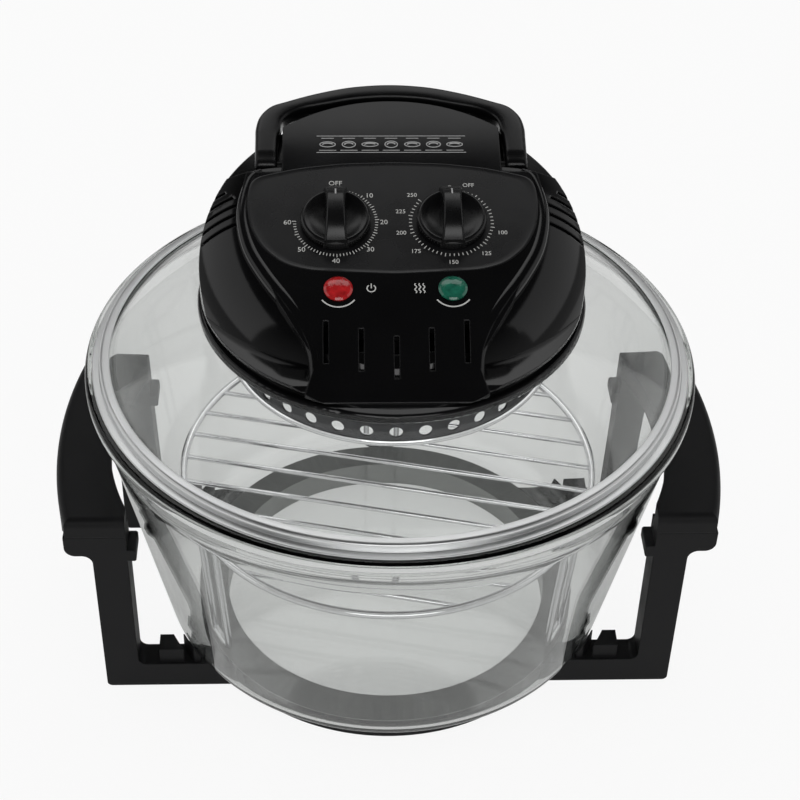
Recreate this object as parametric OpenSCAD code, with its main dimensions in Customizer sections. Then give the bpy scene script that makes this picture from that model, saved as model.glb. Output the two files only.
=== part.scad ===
// Countertop halogen oven: a glass bowl on an open stand with two side handles,
// and a lift-off glass lid that carries the heater, the fan motor and the controls.
// +Z is up, -Y is the front. The origin is on the table, under the centre of the bowl.

/* [Stand] */
// Outer radius of the base ring
base_r = 116; // [110:1:120]
// Radius of the opening in the middle of the base ring
base_bore_r = 98; // [88:1:102]
// Height of the face that the bowl stands on
seat_z = 18; // [15:1:24]
// How far the rubber feet hold the stand off the table
foot_lift = 1.5; // [1:0.5:3]
// Radius of a rubber foot
foot_r = 6; // [4:0.5:7]
// Height of the top of the foot bars
bar_z = 19.5; // [16:0.5:22]
// Depth of the foot bars and legs, front to back
leg_depth = 16; // [13:1:20]
// Distance of the outer leg faces from the middle, front and back
leg_face = 75; // [68:1:80]
// Width of a leg, seen from the front
leg_w = 19.5; // [15:0.5:23]
// Distance of a leg's outer side from the middle
leg_out = 166.5; // [163:0.5:172]
// Distance of the outer end of the block on top of a leg from the middle
block_out = 181.5; // [177:0.5:184]
// Height of the underside of that block
block_z = 109; // [100:1:114]
// Height of the joint between the leg blocks and the grips
joint_z = 123; // [120:1:128]
// Height of the cradles that stop the bowl from sliding
cradle_z = 31; // [26:1:40]
// Size of the small stop inside each leg
stop_w = 5; // [3:0.5:7]

/* [Side handles] */
// Height of the top of the grips
grip_z = 135; // [130:1:145]
// Distance of the outermost point of a grip from the middle
grip_out = 190.5; // [187:0.5:196]
// Radius of the curve of a grip's outer side
grip_bow_r = 280; // [240:5:400]
// Gap between a grip and the bowl
grip_gap = 4.3; // [2:0.1:6]
// Radius of the rounded edges of a grip
grip_edge_r = 5; // [2:0.5:7]
// Height of the lower edge of the finger lip
grip_lip_z = 113; // [110:1:120]
// Wall of a grip
grip_wall = 4; // [3:0.5:6]

/* [Bowl] */
// Height of the top of the bowl
rim_z = 194; // [186:1:205]
// Outer radius of the bowl wall at the top
bowl_top_r = 168; // [166:0.5:170]
// Outer radius of the wall line carried down to the seat
bowl_low_r = 132; // [128:0.5:136]
// Glass thickness of the bowl
bowl_wall = 5; // [4:0.5:6]
// Radius of the rounded bottom corner
bowl_corner_r = 14; // [10:0.5:20]
// How far the rim bead stands out from the wall
bead_out = 1.7; // [1:0.1:4]
// Height of the rim bead
bead_h = 8; // [6:0.5:12]

/* [Rack] */
// Height of the wire ring of the rack
rack_z = 110; // [90:1:125]
// Radius of the wire ring, at the middle of the wire
rack_r = 119.5; // [112:0.5:124]
// Diameter of the ring wire
ring_wire = 4.4; // [3:0.1:5]
// Diameter of the cross wires
bar_wire = 2.8; // [2:0.1:4]
// Distance between the cross wires
bar_pitch = 20.5; // [15:0.5:30]
// Diameter of the leg wire
leg_wire = 4; // [3:0.1:5]
// Width of a leg loop
loop_w = 20; // [14:1:30]
// How far the leg loops stand inside the ring
loop_in = 6; // [3:0.5:8]
// Turn of the rack in the bowl
rack_turn = -13; // [-30:1:30]

/* [Lid] */
// Outer radius of the dome's curve
dome_r = 258.9; // [250:0.1:275]
// Glass thickness of the lid
lid_wall = 4.5; // [3.5:0.5:5.5]
// Radius of the lid glass
lid_r = 159.5; // [158:0.1:160]
// Radius of the hole in the lid glass
lid_hole_r = 92; // [90:0.5:94]
// Height of the dome at the radius of the hole
lid_hole_z = 233.9; // [228:0.1:238]
// Sheet thickness of the metal rim
rim_sheet = 1.2; // [0.8:0.1:1.5]
// How far the rim reaches over the edge of the glass
rim_reach = 4; // [3:0.5:6]
// How deep the metal rim reaches into the bowl
rim_dip = 5.4; // [4:0.1:8]
// Width of the flange that rests on the bowl
flange_w = 4.3; // [3:0.1:5]

/* [Heater] */
// Outer radius of the heat shield's skirt
skirt_r = 88; // [84:0.5:89]
// Height of the lower edge of the skirt
skirt_z = 202; // [198:1:208]
// Sheet thickness of the heat shield
shield_t = 1.2; // [0.8:0.1:2]
// Height of the shield's roof
roof_z = 221.8; // [219:0.1:222.5]
// Height of the shield's clamping flange
clamp_z = 223.8; // [223.5:0.1:224.5]
// Number of air holes round the skirt
hole_count = 36; // [24:2:48]
// Diameter of an air hole
hole_d = 7; // [4:0.5:8]
// Diameter of the bright rolled edge under the skirt
bead_d = 4.4; // [3:0.2:6]
// Radius of the ring that the lamp tube is bent to
lamp_r = 64; // [58:0.5:70]
// Diameter of the lamp tube
lamp_d = 10; // [8:0.5:12]
// Height of the lamp tube
lamp_z = 210; // [209:0.5:213]
// Diameter of the guard wire
guard_wire = 2; // [1.5:0.1:3]

/* [Fans and motor] */
// Radius of the hot air fan
fan_r = 40; // [30:1:48]
// Height of a hot air fan blade
fan_h = 9; // [6:0.5:10]
// Number of blades on the hot air fan
fan_blades = 8; // [5:1:12]
// Height of the middle of the hot air fan
fan_z = 211; // [208:0.5:213]
// Radius of the cooling fan
cool_r = 42; // [30:1:45]
// Height of a cooling fan blade
cool_h = 6.5; // [4:0.5:7]
// Number of blades on the cooling fan
cool_blades = 11; // [6:1:14]
// Radius of the motor shaft
shaft_r = 3; // [2.5:0.1:4]
// Radius of the rotor
rotor_r = 13; // [10:0.5:14]
// Height of the stack of stator plates
stack_h = 12; // [8:1:12]
// Air gap between rotor and stator
air_gap = 0.4; // [0.3:0.05:0.8]

/* [Head] */
// Height of the lower edge of the head
lip_z = 229.5; // [229:0.1:231]
// Outer radius of the flared lip
lip_r = 105.5; // [104.5:0.1:107]
// Height of the lip
lip_h = 6; // [5:0.5:7]
// Height of the widest part of the head
belly_z = 252; // [248:1:256]
// Greatest radius of the head
belly_r = 103.8; // [102:0.1:104]
// Radius of the head's side curve
side_r = 73.4; // [65:0.2:85]
// Height of the sloping top panel at the middle of the head
panel_z = 282.8; // [280:0.1:286]
// Height of the crease where the cheeks end above the lip
cheek_z = 242; // [240:0.5:246]
// Slope of the top panel
panel_tilt = 17.4; // [14:0.1:20]
// Radius of the bend between the panel and the nose
nose_r = 60; // [30:1:90]
// Where that bend starts, in front of the middle
nose_start = 46; // [40:0.5:52]
// Extra slope of the nose
nose_tilt = 16; // [12:0.5:18]
// Radius of the rounded shoulders
shoulder_r = 60; // [50:1:70]
// Wall of the head casing
case_wall = 2.5; // [2:0.1:3.5]
// Thickness of the control fascia
fascia_t = 3; // [2.5:0.1:4]
// Width of the plateau at the back of the fascia
plateau_w = 118; // [108:1:122]
// Where the plateau ends, behind the middle
plateau_v = 86; // [82:0.5:88]
// Radius of the mask-shaped part of the fascia
mask_r = 80.5; // [78:0.5:82]
// Half width of the nose at its waist
nose_waist = 41; // [34:0.5:44]
// Half width of the nose at its foot
nose_foot = 50; // [42:0.5:56]
// Place of the nose's waist along the panel
waist_v = -84; // [-88:0.5:-80]
// Number of louvre slots on each side
louvres = 9; // [4:1:9]
// Place of the foremost louvre slot, behind the middle
louvre_y = 2; // [-10:0.5:4]
// Width of a louvre slot
louvre_w = 2.4; // [1.5:0.1:3.5]
// Distance between louvre slots
louvre_pitch = 6; // [4.5:0.1:6.5]
// Number of slots in the nose
nose_slots = 5; // [3:2:5]
// Width of a nose slot
nose_slot_w = 2.6; // [1.5:0.1:4]
// Distance between nose slots
nose_slot_pitch = 18; // [14:0.5:18.5]

/* [Controls] */
// Distance of each knob from the middle
knob_u = 30.5; // [28:0.5:32]
// Place of the knobs along the panel
knob_v = -2.6; // [-8:0.2:4]
// Diameter of a knob
knob_d = 37; // [30:0.5:40]
// Height of a knob's disc
knob_disc_h = 5; // [4:0.5:8]
// Height of a knob's grip bar above the panel
knob_h = 17; // [12:0.5:20]
// Width of a knob's grip bar
knob_bar_w = 13; // [9:0.5:15]
// Gap between a knob and the panel
knob_gap = 0.8; // [0.5:0.1:2]
// Radius of the control shafts
spindle_r = 3; // [2.5:0.1:3.5]
// Distance of each signal lamp from the middle
lens_u = 29.5; // [26:0.5:32]
// Place of the signal lamps along the panel
lens_v = -46; // [-50:0.5:-40]
// Diameter of a signal lamp
lens_d = 15; // [12:0.5:16]

/* [Carry handle] */
// Width of the handle's arms
arm_w = 12; // [9:0.5:12.5]
// Thickness of the handle
bail_t = 11; // [8:0.5:11.5]
// Width of the handle's cross bar
bail_bar_w = 9; // [7:0.5:10]
// Gap between the handle and the plateau
bail_gap = 3; // [2:0.1:4]
// Place of the handle's pivot along the panel
pivot_v = 42; // [41:0.5:46]
// Radius of a pivot pin
pin_r = 2.5; // [2:0.1:3]
// Stroke of the safety switch plunger
switch_stroke = 1.5; // [1:0.1:1.7]
// Angle through which the handle is raised
bail_swing = 75; // [60:1:80]

/* [Clearances] */
// Clearance of a turning or sliding fit, on the radius
run_fit = 0.05; // [0.02:0.01:0.1]
// Clearance between pieces of different moving groups
part_gap = 0.5; // [0.3:0.05:0.8]
// Clearance of pieces that are put together
join_gap = 0.2; // [0.1:0.05:0.3]

/* [Hidden] */
$fn = 96;

reach = 150;                                  // longer than anything it cuts
black = "#17181a";
bowl_slope = (bowl_top_r - bowl_low_r) / (rim_z - seat_z);
bowl_lean = atan(bowl_slope);
bowl_corner_z = seat_z + bowl_corner_r;
bowl_corner_x = bowl_line(bowl_corner_z) - bowl_corner_r / cos(bowl_lean);
bowl_floor = seat_z + bowl_wall;
leg_mid = leg_face - leg_depth / 2;
leg_in = leg_out - leg_w;
grip_in_r = bowl_line(grip_z) + grip_gap;
lug_w = leg_depth / 2;
lug_z = foot_lift + 3;
lug_h = 7;
bar_start = sqrt(pow(base_r, 2) - pow(leg_mid, 2));
foot_x = leg_in + leg_w / 4;
foot_sink = 1.5;
screw_x = (leg_out + block_out) / 2;
screw_r = 1.8;
screw_head_r = 3.6;
dome_z = lid_hole_z - sqrt(pow(dome_r, 2) - pow(lid_hole_r, 2));
rim_top = dome_height(lid_r - rim_reach) + 0.1 + rim_sheet;
rim_low = rim_z - rim_dip;
rim_out_r = lid_r + 0.5 + rim_sheet;
base_flange_z = lid_hole_z + 0.6;
base_t = 2;
well_r = 60;
well_z = roof_z + shield_t + 3;
well_floor = well_z + base_t;
cool_z = well_floor + 1.5;
stack_z = base_flange_z + 6.5;
bracket_t = 2;
bracket_w = 12;
bracket_foot = cool_r + 4;
stack_y = 21;
unit_drop = fascia_t;
trough_w = bail_t + 2;
trough_v = pivot_v - bail_t / 2 - 1.2;
pivot_w = -trough_w + bail_t / 2 + part_gap;
arm_in = plateau_w / 2 + bail_gap;
arm_mid = arm_in + arm_w / 2;
inner_r = lip_r - 7.5;
inner_top = belly_z - 8.5;
case_screw_r = 84;
fascia_low = base_flange_z + base_t + 0.3;
gland_z = belly_z + 1;
plunger_r = 2;
cam_start = bail_t / 2 - 0.4;
plunger_u = -arm_mid;

function bowl_line(z) = bowl_low_r + bowl_slope * (z - seat_z);
function dome_height(r, t = 0) = dome_z + sqrt(pow(dome_r - t, 2) - r * r);

// ---------- shared shapes ----------

// A square with four rounded corners, from circles and squares only.
module round_square(x0, y0, x1, y1, r) {
  translate([x0 + r, y0]) square([x1 - x0 - 2 * r, y1 - y0]);
  translate([x0, y0 + r]) square([x1 - x0, y1 - y0 - 2 * r]);
  for (x = [x0 + r, x1 - r]) for (y = [y0 + r, y1 - r]) translate([x, y]) circle(r, $fn = 32);
}

// The filler of an inside corner at (x, y); sx and sy point into the open side.
module corner_fill(x, y, r, sx, sy) difference() {
  translate([x + (sx < 0 ? -r : -0.01), y + (sy < 0 ? -r : -0.01)]) square(r + 0.01);
  translate([x + sx * r, y + sy * r]) circle(r, $fn = 32);
}

module ring(r_out, r_in, z0, z1) translate([0, 0, z0]) difference() {
  cylinder(h = z1 - z0, r = r_out);
  translate([0, 0, -1]) cylinder(h = z1 - z0 + 2, r = r_in);
}

module torus(r, d, z) translate([0, 0, z]) rotate_extrude() translate([r, 0]) circle(d / 2, $fn = 24);

// A round rod from a to b.
module rod(a, b, d) {
  v = b - a;
  translate(a) rotate([0, atan2(norm([v[0], v[1]]), v[2]), atan2(v[1], v[0])])
    cylinder(h = norm(v), r = d / 2, $fn = 24);
}

// A pan head screw that points up, with its head's underside at z = 0.
module screw_up(l, r = screw_r, head = screw_head_r) {
  cylinder(h = l, r = r, $fn = 24);
  translate([0, 0, -2]) difference() {
    cylinder(h = 2, r = head, $fn = 24);
    for (a = [0, 90]) rotate(a) translate([-head / 2, -0.5, -1]) cube([head, 1, 2]);
  }
}

// The bowl's outside, moved inwards by t, carried up past the rim by up.
module bowl_body(t, up = 0) rotate_extrude() {
  polygon([[0, seat_z + t], [bowl_corner_x, seat_z + t],
    [bowl_corner_x + (bowl_corner_r - t) * cos(bowl_lean),
     bowl_corner_z - (bowl_corner_r - t) * sin(bowl_lean)],
    [bowl_line(rim_z + up) - t / cos(bowl_lean), rim_z + up], [0, rim_z + up]]);
  translate([bowl_corner_x, bowl_corner_z]) circle(bowl_corner_r - t);
}

// The sloping frame of the top panel: u to the right, v up the slope, w out of it.
module on_panel() translate([0, 0, panel_z]) rotate([panel_tilt, 0, 0]) children();

// ---------- stand ----------

module base_ring() color(black) {
  difference() {
    ring(base_r, base_bore_r, foot_lift, seat_z);
    ring(base_r - 3, base_bore_r + 3, foot_lift - 1, seat_z - 3);
  }
  for (a = [15:30:345]) rotate(a)
    translate([base_bore_r + 2, -1, foot_lift]) cube([base_r - base_bore_r - 4, 2, seat_z - foot_lift - 1]);
  for (sx = [-1, 1]) for (sy = [-1, 1]) difference() {
    translate([sx * (bar_start + 4), sy * leg_mid, lug_z + lug_h / 2])
      cube([24, lug_w, lug_h], center = true);
    translate([0, 0, lug_z - 1]) cylinder(h = lug_h + 2, r = base_r - 2);
  }
}

// Front outline of a leg: foot bar, upright, block on top and the small inner stop.
module leg_outline() {
  round_square(base_bore_r - 10, foot_lift, leg_out, bar_z, 3);
  round_square(leg_in, foot_lift, leg_out, joint_z, 3);
  translate([leg_in, joint_z - 4]) square([leg_w, 4]);
  round_square(leg_in, block_z, block_out, joint_z + 6, 6);
  round_square(leg_in - stop_w, block_z - 4, leg_in + 4, block_z + 4, 1.5);
  corner_fill(leg_in, bar_z, 5, -1, 1);
  corner_fill(leg_out, block_z, 6, 1, -1);
}

module leg() color(black) difference() {
  union() {
    intersection() {
      translate([0, -leg_face, 0]) rotate([90, 0, 0]) mirror([0, 0, 1])
        linear_extrude(leg_depth) leg_outline();
      translate([0, -leg_face - 1, 0]) cube([block_out + 1, leg_depth + 2, joint_z]);
    }
    translate([bowl_line(cradle_z) - 24, -leg_face + 2, bar_z - 1])
      cube([24, leg_depth - 4, cradle_z - bar_z]);
  }
  translate([0, 0, -1]) cylinder(h = 2 * seat_z, r = base_r);
  bowl_body(-part_gap, 1);
  difference() {
    translate([0, 0, bar_z]) cylinder(h = cradle_z, r = bowl_line(cradle_z) + 6);
    translate([0, 0, bar_z - 1]) cylinder(h = cradle_z + 2, r = bowl_line(cradle_z) + 1);
  }
  translate([bar_start + 4, -leg_mid, lug_z + lug_h / 2])
    cube([24 + 2 * join_gap, lug_w + 2 * join_gap, lug_h + 2 * join_gap], center = true);
  translate([foot_x, -leg_mid, foot_lift - 1]) cylinder(h = foot_sink + 1, r = foot_r + join_gap);
  translate([screw_x, -leg_mid, block_z - 1]) cylinder(h = joint_z, r = screw_r + join_gap, $fn = 24);
  translate([screw_x, -leg_mid, block_z - 3]) cylinder(h = 6, r = screw_head_r + join_gap, $fn = 24);
}

module front_right_leg() leg();
module front_left_leg() mirror([1, 0, 0]) leg();
module rear_right_leg() mirror([0, 1, 0]) leg();
module rear_left_leg() mirror([1, 0, 0]) mirror([0, 1, 0]) leg();

// Section of a grip: rounded outer edge, open underneath, with a lip for the fingers.
module grip_section() difference() {
  union() {
    round_square(grip_bow_r - 60, joint_z - 10, grip_bow_r, grip_z, grip_edge_r);
  }
  translate([grip_bow_r - 70, joint_z - 11]) square([80, 11]);
}

module grip() color(black) difference() {
  union() {
    intersection() {
      translate([grip_out - grip_bow_r, 0, 0]) rotate_extrude($fn = 180) grip_section();
      rotate([90, 0, 90]) linear_extrude(grip_out + 1)
        intersection() {
          round_square(-leg_face, joint_z - 10, leg_face, grip_z, grip_edge_r);
          translate([-leg_face, joint_z]) square([2 * leg_face, grip_z]);
        }
      translate([leg_in, -reach, 0]) cube([reach, 2 * reach, 2 * reach]);
    }
    intersection() {
      translate([grip_out - grip_bow_r, 0, grip_lip_z]) difference() {
        cylinder(h = joint_z - grip_lip_z + 1, r = grip_bow_r, $fn = 180);
        translate([0, 0, -1]) cylinder(h = 40, r = grip_bow_r - grip_wall, $fn = 180);
      }
      translate([0, -leg_face + leg_depth + join_gap, 0])
        cube([grip_out + 1, 2 * (leg_face - leg_depth - join_gap), joint_z + 1]);
    }
  }
  translate([0, 0, joint_z - 1]) cylinder(h = grip_z, r = grip_in_r);
  intersection() {
    translate([grip_out - grip_bow_r, 0, joint_z - 1]) difference() {
      cylinder(h = grip_z - grip_wall - joint_z + 1, r = grip_bow_r - grip_wall, $fn = 180);
      translate([0, 0, -1]) cylinder(h = 40, r = grip_bow_r - grip_wall - 16, $fn = 180);
    }
    translate([0, -leg_face + leg_depth + 2, 0]) cube([grip_out + 1, 2 * (leg_face - leg_depth - 2), grip_z]);
  }
  for (sy = [-1, 1]) translate([screw_x, sy * leg_mid, joint_z - 1])
    cylinder(h = 7, r = screw_r, $fn = 24);
}

module right_grip() grip();
module left_grip() mirror([1, 0, 0]) grip();

module rubber_feet() color("#2a2a2c")
  for (sx = [-1, 1]) for (sy = [-1, 1]) translate([sx * foot_x, sy * leg_mid, 0])
    cylinder(h = foot_lift + foot_sink, r = foot_r);

module grip_screws() color("silver")
  for (sx = [-1, 1]) for (sy = [-1, 1]) translate([sx * screw_x, sy * leg_mid, block_z + 3])
    screw_up(joint_z + 5 - block_z - 3);

// ---------- bowl and rack ----------

module glass_bowl() color("#cfdcd8", 0.35) difference() {
  union() {
    bowl_body(0);
    rotate_extrude() round_square(bowl_top_r - bowl_wall, rim_z - bead_h, bowl_top_r + bead_out, rim_z, 2);
  }
  bowl_body(bowl_wall, 1);
}

module rack_grid() color("silver") rotate(rack_turn) {
  torus(rack_r, ring_wire, rack_z);
  n = floor((rack_r - 10) / bar_pitch);
  for (i = [-n:n]) {
    half = sqrt(pow(rack_r, 2) - pow(i * bar_pitch, 2));
    rod([-half, i * bar_pitch, rack_z], [half, i * bar_pitch, rack_z], bar_wire);
  }
}

// One leg: a wire loop with two uprights and a foot wire on the bowl's floor.
module rack_leg() {
  foot_z = bowl_floor + leg_wire / 2 + 0.3;
  top_z = rack_z - ring_wire / 2 + 0.3;
  x_top = sqrt(pow(rack_r, 2) - pow(loop_w / 2, 2));
  x_low = x_top - loop_in;
  for (s = [-1, 1]) {
    rod([x_low, s * loop_w / 2, foot_z], [x_top, s * loop_w / 2, top_z], leg_wire);
    translate([x_low, s * loop_w / 2, foot_z]) sphere(leg_wire / 2, $fn = 24);
  }
  rod([x_low, -loop_w / 2, foot_z], [x_low, loop_w / 2, foot_z], leg_wire);
}

module rack_legs() color("silver") difference() {
  for (a = [90, 210, 330]) rotate(a) rack_leg();
  torus(rack_r, ring_wire, rack_z);
}

// ---------- lid ----------

module lid_glass() color("#cfdcd8", 0.35) difference() {
  intersection() {
    translate([0, 0, dome_z]) sphere(dome_r, $fn = 180);
    ring(lid_r, lid_hole_r, rim_low, lid_hole_z + 5);
  }
  translate([0, 0, dome_z]) sphere(dome_r - lid_wall, $fn = 180);
}

// Rolled metal channel round the glass, with the flange that rests on the bowl.
module lid_rim() color("silver") {
  ring(rim_out_r, rim_out_r - rim_sheet, rim_low, rim_top);
  ring(rim_out_r - rim_sheet + 0.01, lid_r - rim_reach, rim_low, rim_low + rim_sheet);
  ring(rim_out_r - rim_sheet + 0.01, lid_r - rim_reach, rim_top - rim_sheet, rim_top);
  ring(rim_out_r + flange_w, rim_out_r - 0.01, rim_z, rim_z + rim_sheet);
}

// Silicone strip that fills the channel round the edge of the glass.
module rim_seal() color("#3a3a3a") difference() {
  ring(rim_out_r - rim_sheet, lid_r - rim_reach + 1, rim_low + rim_sheet, rim_top - rim_sheet);
  difference() {
    translate([0, 0, dome_z]) sphere(dome_r, $fn = 180);
    translate([0, 0, dome_z]) sphere(dome_r - lid_wall, $fn = 180);
    ring(2 * lid_r, lid_r, rim_low - 20, rim_top + 20);
  }
}

// Section of a gasket whose sloping side lies against the glass.
module gasket_section(r0, r1, flat_z, t, lift) polygon([[r0, flat_z], [r1, flat_z],
  [r1, dome_height(r1, t) + lift], [r0, dome_height(r0, t) + lift]]);

module lower_gasket() color("#7d2b22") rotate_extrude()
  gasket_section(lid_hole_r + 1, lid_hole_r + 7, clamp_z + shield_t, lid_wall, -0.05);

module upper_gasket() color("#7d2b22") rotate_extrude()
  gasket_section(lid_hole_r + 1, inner_r - 2.5, base_flange_z, 0, 0.05);

// ---------- head: forms shared by the casing and the fascia ----------

// Side of the head turned about the vertical, drawn in by d.
module dome_form(d) rotate_extrude() {
  translate([0, lip_z]) square([belly_r - d, belly_z - lip_z]);
  translate([0, belly_z]) square([belly_r - side_r, side_r - d]);
  intersection() {
    translate([belly_r - side_r, belly_z]) circle(side_r - d);
    translate([0, belly_z]) square(reach);
  }
}

// Side outline of the sloping panel and the steeper nose in front of it, drawn in by d.
module slope_outline(d) {
  foot = [-nose_start - (nose_r - d) * sin(nose_tilt), -nose_r + (nose_r - d) * cos(nose_tilt)];
  tip = foot - reach * [cos(nose_tilt), sin(nose_tilt)];
  polygon([[reach, -d], [-nose_start, -d], foot, tip, [tip[0], -2 * reach], [reach, -2 * reach]]);
  translate([-nose_start, -nose_r]) circle(nose_r - d);
}

module slope_form(d) on_panel() rotate([90, 0, 90])
  linear_extrude(2 * reach, center = true) slope_outline(d);

// Rounded shoulders and cheeks turned about the panel's own axis, drawn in by d.
module shoulder_form(d) on_panel() translate([0, 10, 0]) rotate_extrude() {
  translate([0, -reach]) square([shoulder_r, reach - d]);
  translate([0, -reach]) square([2 * shoulder_r - d, reach - shoulder_r]);
  intersection() {
    translate([shoulder_r, -shoulder_r]) circle(shoulder_r - d);
    translate([shoulder_r, -shoulder_r]) square(reach);
  }
}

module head_form(d) intersection() {
  dome_form(d);
  slope_form(d);
  union() {
    shoulder_form(d);
    translate([0, 0, lip_z - 10]) cylinder(h = cheek_z - d - lip_z + 10, r = 2 * belly_r);
  }
}

// Plan of the plateau behind the shoulders, grown by g.
module plateau_outline(g) {
  half = plateau_w / 2;
  corner = 12;
  bow = 125;
  corner_v = plateau_v - 9.2 - corner;
  translate([-half - g, 0]) square([2 * (half + g), corner_v]);
  intersection() {
    translate([-half + corner, 0]) square([2 * (half - corner), plateau_v + g]);
    translate([0, plateau_v - bow]) circle(bow + g, $fn = 180);
  }
  for (s = [-1, 1]) translate([s * (half - corner), corner_v]) circle(corner + g);
}

// Plan of the round dial field in the panel's frame, grown by g.
module mask_outline(g) difference() {
  translate([0, 12]) circle(mask_r + g, $fn = 180);
  translate([-reach, trough_v - bail_gap + g]) square([2 * reach, reach]);
}

// Plan of the nose in the panel's frame, grown by g.
module nose_outline(g) {
  side = [[mask_r * 0.92 + g, -21], [nose_waist + 19 + g, waist_v + 30],
    [nose_waist + 7.5 + g, waist_v + 11], [nose_waist + g, waist_v],
    [nose_foot + g, waist_v - 28], [nose_foot + g, -reach]];
  polygon(concat(side, [for (i = [len(side) - 1:-1:0]) [-side[i][0], side[i][1]]]));
}

module fascia_prism(g, w0 = -reach, w1 = 20) on_panel() translate([0, 0, w0]) {
  linear_extrude(w1 - w0) mask_outline(g);
  linear_extrude(w1 - w0) nose_outline(g);
  linear_extrude(w1 - w0) plateau_outline(g);
}

// Opening of the casing under the fascia.
module fascia_opening() intersection() {
  fascia_prism(-7, -16);
  on_panel() translate([-reach, -78, -reach]) cube([2 * reach, 3 * reach, 2 * reach]);
}

// Channel behind the shoulders in which the folded handle lies; t moves it out by a wall.
module bail_trough(t) on_panel() difference() {
  translate([-reach, trough_v - t, -trough_w - t]) cube([2 * reach, 2 * reach, reach]);
  translate([0, 0, -reach]) linear_extrude(2 * reach) plateau_outline(-t);
}

// Recess of the casing in which the fascia lies, deeper by g.
module fascia_seat(g) difference() {
  fascia_prism(g);
  slope_form(fascia_t + g);
  cylinder(h = fascia_low - g, r = 2 * belly_r);
}

module casing_solid() difference() {
  head_form(0);
  bail_trough(0);
}

module casing_hollow() difference() {
  head_form(case_wall);
  bail_trough(case_wall);
  difference() {
    translate([0, 0, lip_z - 1]) cylinder(h = inner_top - lip_z + 1, r = 2 * belly_r);
    translate([0, 0, lip_z - 2]) cylinder(h = inner_top, r = inner_r - 2);
  }
}

module louvre_cuts() for (s = [-1, 1]) for (i = [0:louvres - 1])
  translate([s * (belly_r - 10) - 12, louvre_y + i * louvre_pitch - louvre_w / 2, belly_z + 12])
    cube([24, louvre_w, 22 - i]);

module case_screw_places() for (a = [45:90:315]) rotate(a) translate([case_screw_r, 0, 0]) children();

// What the casing leaves free above the lid glass, down to a cone just off the dome.
module glass_clearance() rotate_extrude() {
  r0 = inner_r - 10;
  r1 = lip_r + 2;
  polygon([[r0, lip_z - 8], [r1, lip_z - 8], [r1, dome_height(r1) + 0.35], [r0, dome_height(r0) + 0.35]]);
}

module head_casing() color(black) {
  difference() {
    union() {
      difference() {
        casing_solid();
        casing_hollow();
      }
      intersection() {
        case_screw_places() translate([0, 0, base_flange_z + base_t]) cylinder(h = reach, r = 4);
        casing_solid();
      }
      intersection() {
        on_panel() translate([plunger_u, pivot_v, -trough_w - case_wall - 4]) cylinder(h = 6, r = 4);
        casing_solid();
      }
      rotate_extrude() round_square(inner_r, lip_z, lip_r, lip_z + lip_h, 2);
    }
    fascia_opening();
    fascia_seat(join_gap);
    translate([0, 0, lip_z + lip_h]) difference() {
      cylinder(h = 4.5, r = 2 * belly_r);
      translate([0, 0, -1]) cylinder(h = 7, r = belly_r - 3.2);
    }
    louvre_cuts();
    on_panel() translate([plunger_u, pivot_v, -reach]) cylinder(h = 2 * reach, r = plunger_r + run_fit);
    on_panel() for (s = [-1, 1]) translate([s * plateau_w / 2, pivot_v, pivot_w])
      rotate([0, 90, 0]) cylinder(h = 20, r = pin_r + join_gap, center = true);
    translate([0, 0, lip_z - 1]) cylinder(h = base_flange_z + base_t - lip_z + 1, r = inner_r - 2);
    glass_clearance();
    case_screw_places() translate([0, 0, lip_z]) cylinder(h = base_flange_z + 11 - lip_z, r = screw_r, $fn = 24);
    translate([0, belly_r, gland_z]) rotate([90, 0, 0]) cylinder(h = 30, r = 7, center = true);
  }
}

// The gloss panel with plateau, dial field and nose, as one moulded shell.
module control_fascia() color(black) difference() {
  intersection() {
    dome_form(0);
    slope_form(0);
    fascia_prism(0);
  }
  intersection() {
    slope_form(fascia_t);
    union() {
      fascia_prism(-fascia_t);
      head_form(-join_gap);
    }
  }
  cylinder(h = fascia_low, r = 2 * belly_r);
  on_panel() for (s = [-1, 1]) {
    translate([s * knob_u, knob_v, -reach]) cylinder(h = 2 * reach, r = spindle_r + 3);
    translate([s * lens_u, lens_v, -reach]) cylinder(h = 2 * reach, r = lens_d / 2 - 1.8);
  }
  for (i = [0:nose_slots - 1]) {
    k = i - (nose_slots - 1) / 2;
    translate([k * nose_slot_pitch - nose_slot_w / 2, -86 + abs(k) * 3.5, belly_z - 15])
      cube([nose_slot_w, 19, 60]);
  }
}

module cord_gland() color("#232325") translate([0, belly_r, gland_z]) rotate([90, 0, 0]) difference() {
  union() {
    translate([0, 0, -2.2]) cylinder(h = 2, r = 9);
    translate([0, 0, -1]) cylinder(h = case_wall + 3.2, r = 7 - join_gap);
    translate([0, 0, case_wall + 0.8]) cylinder(h = 2, r = 8.6);
  }
  translate([0, 0, -10]) cylinder(h = 30, r = 3.6);
}

// Lower part of the head: clamping flange on the glass and a well for the cooling fan.
module head_base() color("#2b2c2e") difference() {
  union() {
    ring(inner_r - 2.5, well_r, base_flange_z, base_flange_z + base_t);
    ring(well_r + base_t, well_r, well_z, base_flange_z + base_t);
    ring(well_r + base_t, 7, well_z, well_floor);
    for (a = [0:90:270]) rotate(a) translate([50, 0, roof_z + shield_t])
      cylinder(h = well_z - roof_z - shield_t + 1, r = 4);
  }
  for (a = [0:90:270]) rotate(a) translate([50, 0, roof_z]) cylinder(h = 20, r = screw_r, $fn = 24);
  case_screw_places() translate([0, 0, base_flange_z - 1]) cylinder(h = 5, r = screw_r + join_gap, $fn = 24);
  for (a = [0:15:345]) rotate(a) translate([cool_r - 12, -1.5, well_z - 1]) cube([14, 3, 5]);
}

module casing_screws() color("silver") case_screw_places()
  translate([0, 0, base_flange_z]) screw_up(10);

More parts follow.
